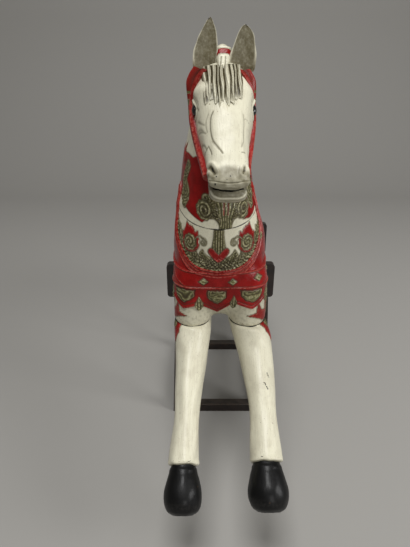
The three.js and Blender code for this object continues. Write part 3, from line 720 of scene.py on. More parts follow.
def breast_carving(points):
    """Ground colours and ornament of the trunk and of the leg roots, in travel and height, with painted
    shade under the lappets.
    """
    t, z = girdle_place(points)
    y = points[..., 1]
    off = np.where(y < -250, 0, AWAY)
    a = np.abs(t)
    made = Carving(a.shape)
    offset, run = collar_offset(a, z)
    beyond = np.minimum(a - 196, z - 870)
    made.paint("red", np.minimum(np.minimum(np.maximum(-offset, beyond), z - 645), -90 - y))
    a = a + off
    leaf_border(made, points, offset - 9, run, off)
    breast_ornament(made, t, a, z)
    # red leaves on the shoulders and down the outer sides
    flame(made, a, z, [
        ([(142, 562), (124, 574), (118, 612)], [17, 12, 1]),
        ([(136, 564), (110, 571), (90, 571)], [13, 7, 1]),
    ])
    flame(made, a, z, [([(178, 640), (172, 590), (166, 545)], [24, 20, 8])])
    gilt_leaf(made, a, z, [(180, 634), (172, 596), (167, 556)], [11, 12, 3])
    hip_carving(made, points)
    # painted shade under the lappets, mottled: dark glaze on the trunk and leg roots below a height of 610
    # to 640
    lappet_shade_and_grime = 0.18 + 0.2 * smooth(undulation(points, 12, 64), 0.2, 1.0)
    made.darken(smooth(640 - z, 0, 30) * lappet_shade_and_grime)
    return made


def hip_carving(made, points):
    """A rosette with six red petals, and two scrolled leaves, on each haunch."""
    y, z = points[..., 1], points[..., 2]
    y = np.where(np.abs(points[..., 0]) > 50, y, AWAY)
    angle = np.arctan2(z - HIP[1], y - HIP[0])
    petals = 50 + 9 * np.cos(angle * 6) - np.hypot(y - HIP[0], z - HIP[1])
    made.paint("red", petals)
    made.relief(petals, 2)
    rosette(made, y, z, HIP, 27)
    gilt_leaf(made, y, z, [(352, 700), (366, 664), (352, 628), (330, 612)], [12, 13, 8, 1])
    gilt_leaf(made, y, z, [(300, 690), (296, 660), (310, 636)], [9, 10, 1])


def torso_skin():
    """The trunk's skin, fine over the breast, with its carving laid on along the normals."""
    rows = np.concatenate([
        np.linspace(0.004, FAN, 118), np.linspace(FAN, 0.5, 62)[1:], np.linspace(0.5, 1 - FAN, 34)[1:],
        np.linspace(1 - FAN, 0.996, 40)[1:],
    ])
    base = torso_points(*np.broadcast_arrays(rows[:, None], around(300)))
    made = breast_carving(base)
    made.lift += 0.5 * undulation(base, 55, 3)
    points = carved(base, made)
    return Skin(points, made, points[..., [0, 2, 1]])


def root_skin(side, low, high, foot, top, reach):
    """A leg root: level rays from the root's slanted axis to the body, from the joint's plane upwards."""
    z = np.concatenate([[low, low + 0.8, low + 2], np.linspace(low + 4, high, 50)])[:, None]
    theta = around(156)
    share = (z - low) / (high - low)
    origin = at(side * mix(foot[0], top[0], share), mix(foot[1], top[1], share), z)
    base = cast(BODY, origin, at(np.sin(theta), -np.cos(theta), 0), reach)
    height = base[..., 2]
    made = breast_carving(base)
    made.lift += 0.5 * undulation(base, 55, 3) - 1.6 * smooth(height, high - 14, high)
    made.lift -= 1.4 * (1 - smooth(height, low, low + 3))
    made.paint("black", 0.9 - np.abs(height - low) + 0.5 * undulation(base, 16, 8))
    return Skin(carved(base, made), made)


def cut_at_neck(piece):
    """Cuts the trunk along the neck joint's plane and closes it."""
    mesh = piece.data
    work = bmesh.new()
    work.from_mesh(mesh)
    slope = math.atan(SEAM_SLOPE)
    spot = to_frame(np.array([0, SEAM_Y, SEAM_Z]), HORSE_ZERO)
    bmesh.ops.bisect_plane(
        work, geom=work.verts[:] + work.edges[:] + work.faces[:], dist=1e-6, plane_co=spot,
        plane_no=(0, -math.sin(slope), math.cos(slope)), clear_outer=True)
    rim = [edge for edge in work.edges if edge.is_boundary]
    bmesh.ops.contextual_create(work, geom=rim)
    work.to_mesh(mesh)
    work.free()


def build_torso(finish):
    """The trunk, cut off at the neck joint, and the four leg roots under it."""
    piece = build_piece("torso_wood", [torso_skin()], finish, ["torso"])
    cut_at_neck(piece)
    roots = []
    for side in (-1, 1):
        roots.append(root_skin(side, FORE_SEAM, 676, (85, -401), (80, -392), 92))
        roots.append(root_skin(side, HIND_SEAM, 672, (91, 349), (80, 300), 112))
    build_piece("leg_roots", roots, finish)


# ------------------------------------------------------------------ tack on the trunk


def edge_ridges(b, width, size=4.5, height=2.2):
    """Two rounded ridges, one along each edge of a strap of that width."""
    from_edge = np.minimum(b, 1 - b) * width
    return height * hump(from_edge - size * 0.55, size * 0.42)


# The band's studs: travel and height.
STUDS = [(-370, 688), (-290, 688), (-44, 685), (44, 685), (119, 692), (205, 688), (290, 688), (370, 688)]


def band_skin():
    """Breast band: a crowned strap with ridged edges, crossing folds on the right, a crease some way
    behind each fold, and diamond studs."""
    half_run, height, crease = 440.0, BAND_HIGH - BAND_LOW, 99

    def surface(share, c, up):
        return girdle_point(mix(-half_run, half_run, share), mix(BAND_LOW, BAND_HIGH, c), up)

    a, b = sheet(520, 40)
    t, z = mix(-half_run, half_run, a), mix(BAND_LOW, BAND_HIGH, b)
    made = Carving(a.shape, "red")
    made.lift += 4.0 + edge_ridges(b, height) + 0.5 * undulation(at(t, 0, z), 40, 5)
    # pale edges: rubbed paint with painted highlight
    made.rub_and_highlight(edge_ridges(b, height, height=0.9))
    made.cut(np.minimum(b, 1 - b) * height - 5.6, 0.8, 1.3, 0.7)
    for path in ([(-178, 708), (-98, 668)], [(-178, 692), (-132, 666)]):
        fold, _, offset = stroke(t, z, path, [0.0])
        near = fold > -12
        made.cut(np.where(near, offset, offset + crease), 1.3, 1.8, 0.6)
        made.lift += 1.4 * hump(offset - 3.5, 2.2) * near
        # pale fold ridges: rubbed paint with painted highlight
        made.rub_and_highlight(hump(offset - 3.5, 1.6) * near)
    for place, high in STUDS:
        inside = (1 - np.abs(t - place) / 13 - np.abs(z - high) / 10.5) * 8
        made.paint("gilt", inside)
        made.relief(inside, 2.6, 3)
        made.cut(inside + 1.6, 0.8, 1.1, 0.8)
    return strip(surface, made)


def lappet_edge(t):
    """Lower edge: straight sides between tips and valleys, with a drop hanging in each valley."""
    edge = np.interp(t, *np.array(LAPPET_EDGE, float).T)
    offset, valley = nearest(t, LAPPET_EDGE[2:-1:2])
    tab = valley - 20 + 16 * (np.abs(offset) / 11) ** 1.6
    return np.minimum(edge, np.where(np.abs(offset) < 11, tab, AWAY))


def nearest(t, stations):
    """Offset from the nearest of several places, and the height that goes with it."""
    places, heights = np.array(stations, float).T
    gaps = t[None] - places.reshape(-1, *([1] * t.ndim))
    index = np.abs(gaps).argmin(0)
    return np.take_along_axis(gaps, index[None], 0)[0], heights[index]


def lappet_skin():
    """Pointed lappets: a red border ridge, a gilt shield in each and a gilt drop in each valley."""
    low, high = LAPPET_EDGE[0][0], LAPPET_EDGE[-1][0]

    def surface(share, c, up):
        place = mix(low, high, share)
        return girdle_point(place, mix(lappet_edge(place), BAND_LOW + 5, c), up)

    a, b = sheet(520, 50)
    t = mix(low, high, a)
    edge = lappet_edge(t)
    z = mix(edge, BAND_LOW + 5, b)
    made = Carving(t.shape, "red")
    from_edge = (z - edge) * 0.85
    made.lift += 2.4 + 1.8 * hump(from_edge - 4, 3.2)
    # pale rim: rubbed paint with painted highlight
    made.rub_and_highlight(0.8 * hump(from_edge - 2, 1.6))
    made.cut(from_edge - 9.5, 1.0, 1.5, 0.7)
    across, tip = nearest(t, LAPPET_EDGE[1:-1:2])
    across = np.abs(across)
    floor = z - np.maximum(tip, 590) - 24 - 0.018 * across**2 - 0.25 * across
    shield = np.minimum(np.minimum(655 - z, 27.5 - across), floor * 0.85)
    shield = shield + 1.2 * undulation(at(t, z, 0), 16, 41)
    made.paint("gilt", shield)
    made.relief(shield, 2.0, 2.2)
    sway = 0.5 * undulation(at(t, z, 0), 26, 42)
    made.ribs(shield, (0.75 * np.hypot(across, z - 662) + 0.3 * across) / 10.5 + sway, 1.3)
    made.wear_and_highlight *= 1 - 0.45 * smooth(shield, 0, 2)
    made.cut(shield + 2.4, 1.6, 1.7, 1.0)
    offset, valley = nearest(t, LAPPET_EDGE[2:-1:2])
    offset = np.abs(offset)
    drop = np.minimum(9.5 - offset, (valley + 26 - z - 2.2 * offset) * 0.5)
    drop = np.maximum(drop, np.minimum(9.5 - offset, valley + 5 - z))
    made.paint("gilt", drop)
    made.relief(drop, 2.6, 3)
    made.ribs(drop, offset / 7 + 0.5, 0.8)
    return strip(surface, made)


def collar_skin():
    """Collar strap: a U round the breast that climbs over the neck's sides, with three ridges."""
    half, half_run = 11.0, 330.0

    def surface(share, c, up):
        u = share * 2 - 1
        side, place = np.where(u < 0, -1, 1), np.abs(u)
        a, z = station_curve(COLLAR_LINE, place)
        run_a, run_z = station_run(COLLAR_LINE, place)
        across = mix(-half, half, c)
        lean = smooth(place, 0, 0.03)
        return girdle_point(side * (a - across * lean * run_z), z + across * run_a, up)

    a, b = sheet(460, 26)
    made = Carving(b.shape, "red")
    made.lift += 3.2 + edge_ridges(b, 2 * half, 4.6, 2.0) + hump(b - 0.5, 0.09)
    # a painted pink sheen over the whole strap, and more on the ridges: rubbed paint with painted highlight
    made.rub_and_highlight(np.maximum(edge_ridges(b, 2 * half, 4.6, 0.95), 0.45))
    made.cut((np.abs(b - 0.5) - 0.2) * 2 * half, 0.5, 1.2, 0.6)
    run = mix(-half_run, half_run, a)
    stud = (1 - np.abs(run - 168) / 12 - np.abs(b - 0.5) * 2 * half / 10) * 8
    made.paint("gilt", stud)
    made.relief(stud, 2.4, 3)
    return strip(surface, made, 8.0)


def blanket_skin():
    """Saddle blanket: a red cloth with a pointed hem, gilt shields along it and a ridged border."""
    front, back, tips = -150.0, 262.0, 4
    degree = 2.6             # length of a degree round the back

    def hem(share):
        return 100 - 15 * np.abs(2 * ((share * tips) % 1) - 1)

    def surface(share, c, up):
        return back_point(mix(front, back, share), mix(-1, 1, c) * hem(share), up)

    a, b = sheet(136, 150)
    made = Carving(a.shape, "red")
    to_hem = (1 - np.abs(2 * b - 1)) * hem(a) * degree
    rim = np.minimum(to_hem, np.minimum(a, 1 - a) * (back - front))
    made.lift += 4.2 + 1.4 * hump(rim - 4, 3.5)
    # pale rim: rubbed paint with painted highlight
    made.rub_and_highlight(0.9 * hump(rim - 3, 2.5))
    made.cut(rim - 10, 0.9, 1.8, 0.7)
    across = np.abs(((a * tips) % 1) - 0.5) * (back - front) / tips
    shield = np.minimum(30 - across, np.minimum(to_hem - 14 - 0.1 * across, 52 - to_hem))
    made.paint("gilt", shield)
    made.relief(shield, 1.8, 3)
    made.ribs(shield, (across * 0.9 + to_hem) / 11, 1.4)
    return strip(surface, made)


def saddle_skin():
    """Saddle: rounded skirts, a raised pommel and cantle, a gilt border and a stitched groove."""
    front, back, half_turn = -105.0, 205.0, 62.0
    degree = 2.7             # length of a degree round the back

    def skirt(share):
        return half_turn * np.sqrt(np.maximum(1 - (2 * share - 1) ** 6, 0.16))

    def surface(share, c, up):
        return back_point(mix(front, back, share), mix(-1, 1, c) * skirt(share), up)

    a, b = sheet(120, 120)
    along = a * (back - front)
    middle = np.maximum(np.cos((b - 0.5) * math.pi), 0) ** 1.4
    pommel = 46 * np.exp(-((a - 0.04) ** 2) / 0.008)
    cantle = 52 * np.exp(-((a - 0.95) ** 2) / 0.01)
    made = Carving(a.shape, "red")
    made.lift += 12.5 + (pommel + cantle) * middle
    rim = np.minimum((1 - np.abs(2 * b - 1)) * skirt(a) * degree, np.minimum(along, back - front - along))
    border = np.minimum(rim - 3, 15 - rim)
    made.paint("gilt", border)
    made.ribs(border, (along + b * 330) / 12, 1.2)
    made.cut(rim - 17, 1.2, 1.6)
    made.lift += 1.2 * hump(rim - 8, 5)
    return strip(surface, made)


def tail_skin():
    """Tail: a hank along a falling curve; its radius swells by a cosine of nine strands that twist."""
    t, theta = np.linspace(0, 1, 130)[:, None], around(99)
    y, z, radius = station_curve(TAIL, t)
    run_y, run_z = station_run(TAIL, t)
    wave = 0.5 + 0.5 * np.cos(9 * theta + 5 * t + 0.7 * np.sin(9 * t))
    fine = 0.5 + 0.5 * np.cos(27 * theta + 11 * t)
    reach = radius * (0.9 + 0.16 * wave**0.7 + 0.02 * fine)
    across, out = reach * np.sin(theta), reach * np.cos(theta)
    made = Carving(wave.shape)
    made.darken((1 - wave) ** 2.2)
    made.rub_and_highlight(0.6 * wave**3)
    return Skin(at(across, y - run_z * out, z + run_y * out), made, at(across, out, t * 480))


def build_tack(finish):
    """The straps and cloths of the harness, each a piece of its own."""
    skins = {"breast_band": band_skin, "breast_lappets": lappet_skin, "collar_strap": collar_skin,
             "saddle_blanket": blanket_skin, "saddle": saddle_skin}
    for name, skin in skins.items():
        build_piece(name, [skin()], finish)


# ------------------------------------------------------------------ neck


def neck_points(t, theta, lift=0.0):
    """Rays square to the leaning neck spine reach the body; theta runs round from the throat."""
    y, z, tilt = station_curve(NECK_SPINE, t)
    tilt = np.radians(tilt)
    centre = at(NECK_LEAN * (1 - t**2), y, z)
    direction = at(np.sin(theta), -np.cos(tilt) * np.cos(theta), -np.sin(tilt) * np.cos(theta))
    lift = np.broadcast_to(lift, direction.shape[:-1])
    return cast(BODY, centre, direction, 230) + direction * lift[..., None]


def neck_scrolls(made, t, z):
    """Two big gilt scrolls that part from the stem, each with its leaves, its groove and a hollow."""
    for side, middle in ((-1, (-43, 889)), (1, (82, 889))):
        def out(places):
            return [(NECK_MIDDLE + side * across, height) for across, height in places]
        gilt_leaf(made, t, z, out([(9, 858), (20, 886), (30, 906)]) + [(middle[0] - side * 6, 919)],
                  [13, 18, 17, 11], 9)
        rosette(made, t, z, middle, 26, 1, side)
        groove = curl(middle, 17, 90 - side * 60, 1.4, -side)
        made.cut(stroke(t, z, groove, [1.2])[0] - 1.2, 1.4, 1.4, 1.0)
        gilt_leaf(made, t, z, out([(18, 868), (34, 876)]) + [(middle[0] - side * 14, 872)], [9, 9, 4], 9)
    for side in (-1, 1):
        hollow = disc(t, z, (NECK_MIDDLE + side * 62, 888), 4.5)
        made.lift -= 1.6 * smooth(hollow, 0, 3)
        made.darken(smooth(hollow, -1.5, 1.5))


def neck_carving(points):
    """White foot along the joint, a scalloped red field, a fluted stem with two big gilt scrolls, and a
    gilt scroll up each side."""
    t, z = girdle_place(points)
    y = points[..., 1]
    made = Carving(t.shape)
    a, b = np.abs(t), t - NECK_MIDDLE
    above = (z - seam_height(y)) * math.cos(math.atan(SEAM_SLOPE))
    foot = np.interp(b, *np.array(FOOT_EDGE, float).T)
    top = 1016 + 10 * np.abs(np.sin(t / 30)) + 0.25 * np.maximum(a - 150, 0)
    offset, _ = collar_offset(a, z)
    ground = np.minimum(np.minimum(above - foot, top - z), offset - 14)
    behind = np.minimum(a - 196, top - z)
    made.paint("red", np.maximum(np.maximum(ground, behind), -offset))
    made.lift += 1.2 * smooth(ground, 0, 2)
    made.cut(ground + 0.4, 0.8, 1.2, 0.75)
    off = np.where(y < -300, 0, AWAY)
    neck_scrolls(made, t + off, z)
    heights = [836, 870, 915]
    stem = np.minimum(np.interp(z, heights, [18.5, 20, 33]) - np.abs(b), 928 - z) - off
    flute = np.interp(z, heights, [7.4, 8.0, 12.5])
    fluted_stem(made, stem, b / flute + 0.5 + 0.25 * undulation(points, 40, 66), 3.0, 1.6)
    for place in (-6.5, 6.0):
        made.paint("red", np.minimum(2.2 - np.abs(b - place), 26 - np.abs(z - 902)) - off)
    for side in (-1, 1):
        u = side * t
        gilt_leaf(made, u, z, [(128, 898), (116, 925), (128, 956), (118, 990), (126, 1004)],
                  [14, 21, 14, 17, 2], 9)
        rosette(made, u, z, (138, 918), 14)
        flame(made, u, z, [([(160, 1012), (168, 1032), (160, 1052)], [16, 10, 1])])
    return made


def neck_skin():
    """The neck's skin, fine over its foot and its throat, closed flat on the joint."""
    t = np.concatenate([[0, 0.003], np.linspace(0.008, 0.42, 110), np.linspace(0.42, 1, 60)[1:]])
    turn = around(256)
    base = neck_points(*np.broadcast_arrays(t[:, None], turn - 0.55 * np.sin(turn)))
    made = neck_carving(base)
    made.lift += 0.5 * undulation(base, 50, 4)
    made.lift *= smooth(t, 0, 0.004)[:, None]
    return Skin(carved(base, made), made)


def mane_skin():
    """Mane: a crest of locks that fall to both sides; the ribs' phase runs with the neck and lags down
    the sides, so each lock sweeps back."""
    locks = 27

    def surface(share, c, up):
        half_turn = 16 + 20 * np.sin(math.pi * np.minimum(share * 1.2, 1))
        half_turn = half_turn + 4 * np.abs(np.cos(share * locks * math.pi))
        return neck_points(mix(0.06, 0.93, share), math.pi + np.radians(mix(-1, 1, c) * half_turn), up)

    a, b = sheet(300, 66)
    phase = a * locks - 1.1 * np.abs(2 * b - 1) ** 1.5 + 0.35 * np.sin(9 * a)
    wave = 0.5 + 0.5 * np.cos(phase * 2 * math.pi)
    ridge = np.cos((b - 0.5) * math.pi)
    fine = np.cos(phase * 18.85)        # three fine ribs to a lock
    made = Carving(a.shape)
    made.lift += 4.5 + 13 * ridge**2 + 3.4 * (wave**0.6 - 0.5) + 0.5 * fine
    made.darken((1 - wave) ** 2)
    made.rub_and_highlight(0.5 * wave**3)
    return strip(surface, made, 8.0)


# ------------------------------------------------------------------ head


def head_point(x, s, w):
    """A place in the head: s down the face from the poll, w back towards the jaw, x across."""
    sine, cosine = math.sin(FACE_SLOPE), math.cos(FACE_SLOPE)
    return at(x - 3 + HEAD_TURN * s, POLL_Y - cosine * s + sine * w, POLL_Z - sine * s - cosine * w)


SKULL_TABLE = np.array(station_curve(HEAD_STATIONS, np.linspace(0, 1, 500)))


def skull_at(s):
    """Middle depth, half-depth, half-width and squareness of the skull at a distance down the face."""
    face, jaw, half, square = (np.interp(s, SKULL_TABLE[0], row) for row in SKULL_TABLE[1:])
    return (face + jaw) / 2, (jaw - face) / 2, half, square


def skull_half(s, w):
    """Half-width of the skull's superellipse at a depth w."""
    middle, deep, half, square = skull_at(s)
    share = np.clip(np.abs((w - middle) / deep), 0, 0.999)
    return half * (1 - share**square) ** (1 / square)


def face_depth(x, s):
    """Depth w of the face's skin at a place across."""
    middle, deep, half, square = skull_at(s)
    share = np.clip(np.abs(x / half), 0, 0.97)
    return middle - deep * (1 - share**square) ** (1 / square)


def even_angles(count, front_weight, square=2.5, half=70.0, deep=85.0):
    """Angles that step evenly along a superellipse, closer together on its face side."""
    theta = np.linspace(0, 2 * math.pi, 6001)
    across, through = rounded(theta, 2 / square)
    weight = 1 + front_weight * (0.5 - 0.5 * np.cos(theta[1:])) ** 2
    step = np.hypot(np.diff(across * half), np.diff(through * deep)) * weight
    length = np.concatenate([[0], np.cumsum(step)])
    return np.interp(np.arange(count) / count * length[-1], length, theta)


def boxed_rings(stations, theta):
    """Superellipse rings: each station gives s, middle depth, half-depth, half-width and squareness."""
    s, middle, deep, half, square = (value[:, None] for value in stations)
    across, through = rounded(theta[None, :], 2 / square)
    x = across * half
    return x, np.broadcast_to(s, x.shape), middle + through * deep


def eye_socket(made, s, w, side):
    """Socket, swollen upper lid and the lines round it, as ridges of the distance to an oval."""
    eye_s, eye_w = EYE
    lens = np.hypot((s - eye_s) / 1.45, w - eye_w)
    made.lift -= 5.0 * hump(lens, 11) * side
    made.lift += (2.2 + 3.0 * smooth(eye_s - s, -4, 8)) * hump(lens - 15, 3.0) * side
    made.cut(np.where(side > 0.3, lens - 20, AWAY), 0.9, 1.3, 0.6)
    made.cut(np.where((side > 0.3) & (s < eye_s + 8), lens - 25, AWAY), 0.7, 1.2, 0.5)
    made.darken(0.8 * hump(lens - 11.5, 1.6) * side)


def nostrils(made, x, s, w, u):
    """Two slits with flared rims, black inside, and the small nicks near them."""
    for path, widths in (([(-41, 268), (-36, 277), (-31, 288)], [4.2, 4.6, 3.4]),
                         ([(35, 272), (34, 280), (31, 287)], [2.6, 3.4, 2.2])):
        hole = stroke(u, s, path, widths)[0]
        made.lift -= 4.0 * smooth(hole, -2.5, 3.5)
        made.lift += 2.2 * hump(hole + 5.5, 3.4)
        made.darken(0.92 * smooth(hole, -1.8, 1.6))
        made.paint("black", hole - 2.9 + 1.3 * undulation(at(x, s, w), 8, 52))
    for place, size in (((-30, 311), 1.5), ((-27, 297), 1.3), ((3, 296), 1.1), ((-5, 304), 0.9)):
        made.paint("black", disc(u, s, place, size))


def skull_carving(x, s, w, theta):
    """Carving of the head, with face features in x and s and side features in s and w."""
    made = Carving(x.shape)
    facing = np.broadcast_to(-np.cos(theta), x.shape)
    face_side = smooth(facing, 0.15, 0.45)
    side = 1 - smooth(facing, 0.75, 0.95)
    u = x + np.where(face_side > 0.02, 0, AWAY)
    a = np.abs(x)
    for path, depth, width, glaze_and_shading in FACE_GROOVES:
        made.cut(stroke(u, s, curved(path, 16), [0.0])[0], depth, width, glaze_and_shading)
    bridge = smooth(36 - np.abs(x - 1), -3, 5) * smooth(s, 120, 150) * (1 - smooth(s, 235, 262))
    made.lift += 1.6 * bridge * face_side
    made.lift += 7 * bump(a, s, (57, 62), (15, 22)) * face_side
    made.lift += 6 * bump(s, w, (66, 14), (20, 20)) * (x < 0)
    made.lift -= 1.2 * bump(x, s, (0, 108), (30, 18)) * face_side
    eye_socket(made, s, w, side)
    made.lift += 4.5 * bump(s, w, (78, 118), (48, 34)) * side
    cheek_line = stroke(s, w, curved([(128, 40), (165, 52), (215, 46)]), [0.0])[0]
    made.cut(np.where(side > 0.3, cheek_line, AWAY), 1.0, 1.6, 0.5)
    nostrils(made, x, s, w, u)
    # bare, grimy muzzle, the upper lip and the dark of the mouth
    muzzle = smooth(s + 4 * np.cos(x / 13), 268, 284)
    mottle = 0.09 * undulation(at(x, s, w), 14, 51)
    made.darken(np.clip(0.64 + mottle, 0, 0.9) * muzzle)
    depth = w - face_depth(x, s)
    # painted shade on the sides of the head: dark glaze grows back from the face
    made.darken(0.3 * smooth(depth, 6, 30) * smooth(s, 60, 120))
    made.cut(np.where(face_side > 0.3, s - 311 + 0.005 * x**2, AWAY), 1.2, 1.4, 0.95)
    under = (depth - 12) * smooth(s, 284, 300)
    made.paint("black", np.where(s > 286, np.minimum(under, 46 - a), BARE))
    return made


def skull_skin():
    """The skull: superellipse rings down the face, a little slimmer on the left cheek."""
    share = np.concatenate([np.linspace(0, 0.9, 174), np.linspace(0.9, 1, 32)[1:]])
    s, face, jaw, half, square = station_curve(HEAD_STATIONS, share)
    theta = even_angles(236, 1.3)
    x, down, w = boxed_rings((s, (face + jaw) / 2, (jaw - face) / 2, half, square), theta)
    x = x - 4 * smooth(x, 10, 50) * hump(down - 185, 55)
    made = skull_carving(x, down, w, theta)
    base = head_point(x, down, w)
    made.lift += 0.4 * undulation(base, 38, 6)
    return Skin(carved(base, made), made, at(x, w, down))


def jaw_skin():
    """Lower jaw, with a raised pale rim round the lip and a dark inside; the rim's paleness is rubbed
    glaze together with painted highlight. The lip's rim follows a superellipse in x and in the drop,
    which is measured square to the lip."""
    stations = station_curve(JAW_STATIONS, np.linspace(0, 1, 110))
    x, down, w = boxed_rings(stations, even_angles(150, 0.5, 2.4, 44, 26))
    made = Carving(x.shape)
    height = (w - stations[1][:, None]) / np.maximum(stations[2][:, None], 1)
    mouth = np.minimum(34 - np.abs(x), 316 - down - 0.009 * x**2)
    made.paint("black", np.where((height < -0.5) & (down > 255), mouth, BARE))
    drop = 0.956 * down + 0.294 * w
    square = 3.5
    edge = np.abs(x / 42.5) ** square + np.maximum((drop - 290) / 36.5, 0) ** square
    edge = edge ** (1 / square)
    lip = smooth(drop, 300, 308) * (1 - smooth(height, 0.4, 0.9))
    rim = hump(edge - 0.93, 0.045) * lip
    made.lift += 1.8 * rim
    # glaze on the muzzle, left off the rim: painted highlight where the lip turns down, with rubbed glaze
    made.glaze_and_shading = smooth(down, 262, 284) * mix(0.8, 0.5, smooth(edge, 0.97, 1.04)) * (1 - rim)
    made.darken(0.9 * hump(edge - 0.845, 0.02) * lip)
    base = head_point(x, down, w)
    made.lift += 0.35 * undulation(base, 34, 7)
    return Skin(carved(base, made), made, at(x, w, down))


def ear_skin(stations, seed, stout):
    """A leaf-shaped ear: rings of stations, hollowed on the front by a parabola across."""
    t, theta = np.linspace(0, 1, 90)[:, None], around(80)
    half, height, thick, across = station_curve(stations, t)
    half = half + stout * np.sin(math.pi * np.clip(height / 100, 0, 1))
    half = half * np.sqrt(1 - 0.93 * np.clip((t - 0.93) / 0.07, 0, 1) ** 2)
    x = np.sin(theta) * half
    front = smooth(-np.cos(theta), -0.05, 0.25)
    share = np.clip(np.abs(x) / half, 0, 1)
    hollow = front * 0.95 * thick * (1 - share**2) ** 0.7
    y = -433 + np.cos(theta) * thick + 1.2 * hollow + 0.09 * height
    points = at(across + x, y, 1224 + height)
    made = Carving(x.shape)
    made.darken(0.9 * front * smooth(1.02 - share, 0, 0.16 + 0.1 * (1 - smooth(height, 20, 60))))
    # painted shade at the root of the ear, on its front
    made.darken(0.94 * front * (1 - smooth(height, 8, 44)))
    made.darken(0.5 * (1 - front))
    chip = smooth(undulation(points, 7, seed + 5), 0.5, 1.1) * smooth(height, 90, 97) * (share > 0.5)
    made.black = np.where(chip > 0.3, 2.0, made.black)
    made.lift += 0.4 * undulation(points, 24, seed) - 1.2 * chip
    return Skin(carved(points, made), made)


def eye_skin(side):
    """An oval ball, its long axis down the face."""
    polar, theta = np.linspace(0.03, math.pi - 0.03, 30)[:, None], around(40)
    x = 8.5 * np.sin(polar) * np.sin(theta)
    s = 14.5 * np.cos(polar)
    w = 10.0 * np.sin(polar) * np.cos(theta)
    base = skull_half(*EYE) - 1.0
    points = head_point(side * (base + x), EYE[0] + s, EYE[1] + w)
    return Skin(points, Carving(x.shape, "black"))


def forelock_skin():
    """Forelock: a sheet on the forehead cut into uneven strands, each a half wave of a sine across that
    ends in its own point."""
    strands = 9
    draw = np.random.default_rng(21)
    edges = np.concatenate([[0], np.cumsum(0.55 + 0.9 * draw.random(strands))])
    edges /= edges[-1]
    swell = 12 * np.sin(math.pi * (np.arange(strands) + 0.5) / strands)
    ends = 94 + swell + 22 * draw.random(strands)
    darkness = draw.random(strands)

    def strand_at(c):
        place = np.interp(c, edges, np.arange(strands + 1))
        return np.abs(np.sin(place * math.pi)), place, np.clip(place.astype(int), 0, strands - 1)

    def surface(share, c, up):
        x = mix(-52, 43, c)
        wave, _, number = strand_at(c)
        edge = ends[number] - 40 * (1 - wave) ** 1.1
        s = mix(-10 + 16 * np.sin(math.pi * c), edge, share)
        return head_point(x, s, face_depth(x, s) - up)

    a, b = sheet(110, 190)
    wave, place, number = strand_at(b + 0.010 * np.sin(7 * a + 11 * b))
    dark = darkness[number]
    fine = np.cos(place * 4 * math.pi + 5 * dark + 2 * np.sin(6 * a))
    made = Carving(a.shape)
    made.lift += 1.5 + (5.6 * wave**0.6 + 1.4 * fine * wave) * (1 - 0.75 * smooth(a, 0.86, 1))
    made.darken(np.minimum((1 - wave) * (1.45 + 1.2 * dark), 1))
    made.darken((0.25 + 0.6 * dark) * smooth(-fine, 0.1, 0.9))
    # painted shade on the upper part of the forelock, under the ears
    made.darken((0.5 + 0.5 * dark) * (1 - smooth(a, 0.0, 0.45)) * (1 - 0.6 * wave**3))
    return strip(surface, made, 5.0)


def knob_skin():
    """Topknot: the crest's front end, bound with a red band, wider towards its flat top."""
    t, theta = np.linspace(0, 1, 60)[:, None], around(72)
    length, band = 61.0, t - 0.83
    across, through = rounded(theta, 2 / 3.2)
    x = across * (mix(9.5, 20.0, t**1.2) + 1.2 * hump(t - 0.85, 0.07))
    w = through * (13 + 6 * t)
    s = mix(24, 24 - length, t) + 0.6 * w * smooth(t, 0.4, 1) + 1.6 * np.sin(x / 4) * smooth(t, 0.93, 1)
    made = Carving(x.shape)
    made.paint("red", 5.0 - np.abs(band) * length)
    made.cut(np.where(t > 0.66, AWAY, np.abs(x) - 5.5), 1.4, 1.3)
    made.cut((np.abs(band) - 0.095) * length, 0.8, 1.1, 0.6)
    return Skin(carved(head_point(x + mix(-4, 3, t), s, w + 8 + 4 * t), made), made)


def bridle_skin(path, side, thick_top, thick):
    """Cheek strap: from the ear's root over the temple and down the cheek to the mouth. At the temple it
    is a thick double roll; its face bulges by a root of a sine across."""
    def surface(share, c, up):
        s, w = station_curve(path, share)
        run_s, run_w = station_run(path, share)
        across = mix(-1, 1, c) * mix(22, 11, smooth(share, 0.16, 0.46))
        s, w = s + across * run_w, w - across * run_s
        step = 0.5
        fall = (skull_half(s, w + step) - skull_half(s, w - step)) / (2 * step)
        fall = np.clip(fall, -1.5, 1.5)
        size = np.sqrt(1 + fall**2)
        return head_point(side * (skull_half(s, w) + up / size), s, w - up * fall / size)

    a, b = sheet(280, 34)
    width, roll = 17, np.abs(np.cos(b * 2 * math.pi))
    top = 1 - smooth(a, 0.14, 0.4)
    made = Carving(b.shape, "red")
    rolls = mix(0.35 + 0.65 * roll, 0.8, 1 - top)
    crown = np.sin(math.pi * np.clip(b, 0.02, 0.98)) ** 0.5
    made.lift += mix(thick, thick_top, top) * crown * rolls
    made.lift += (1 - top) * edge_ridges(b, width, 4.2, 1.6)
    # pale strap edges and roll crests: rubbed paint with painted highlight; painted shade between the rolls
    made.rub_and_highlight((1 - top) * edge_ridges(b, width, 4.2, 0.9))
    made.rub_and_highlight(0.5 * top * roll**8)
    made.darken(0.75 * top * (1 - roll) ** 0.7)
    for middle in (0.25, 0.75):
        made.cut(np.where(top < 0.4, AWAY, (b - middle) * 38), 1.0, 1.8, 1.0)
    scroll = np.minimum(4.5 - np.abs(b - 0.5) * width, (0.5 - a) * 300)
    made.paint("gilt", np.where(top < 0.5, np.minimum(scroll, 6 * np.cos(a * 70)), BARE))
    return strip(surface, made)


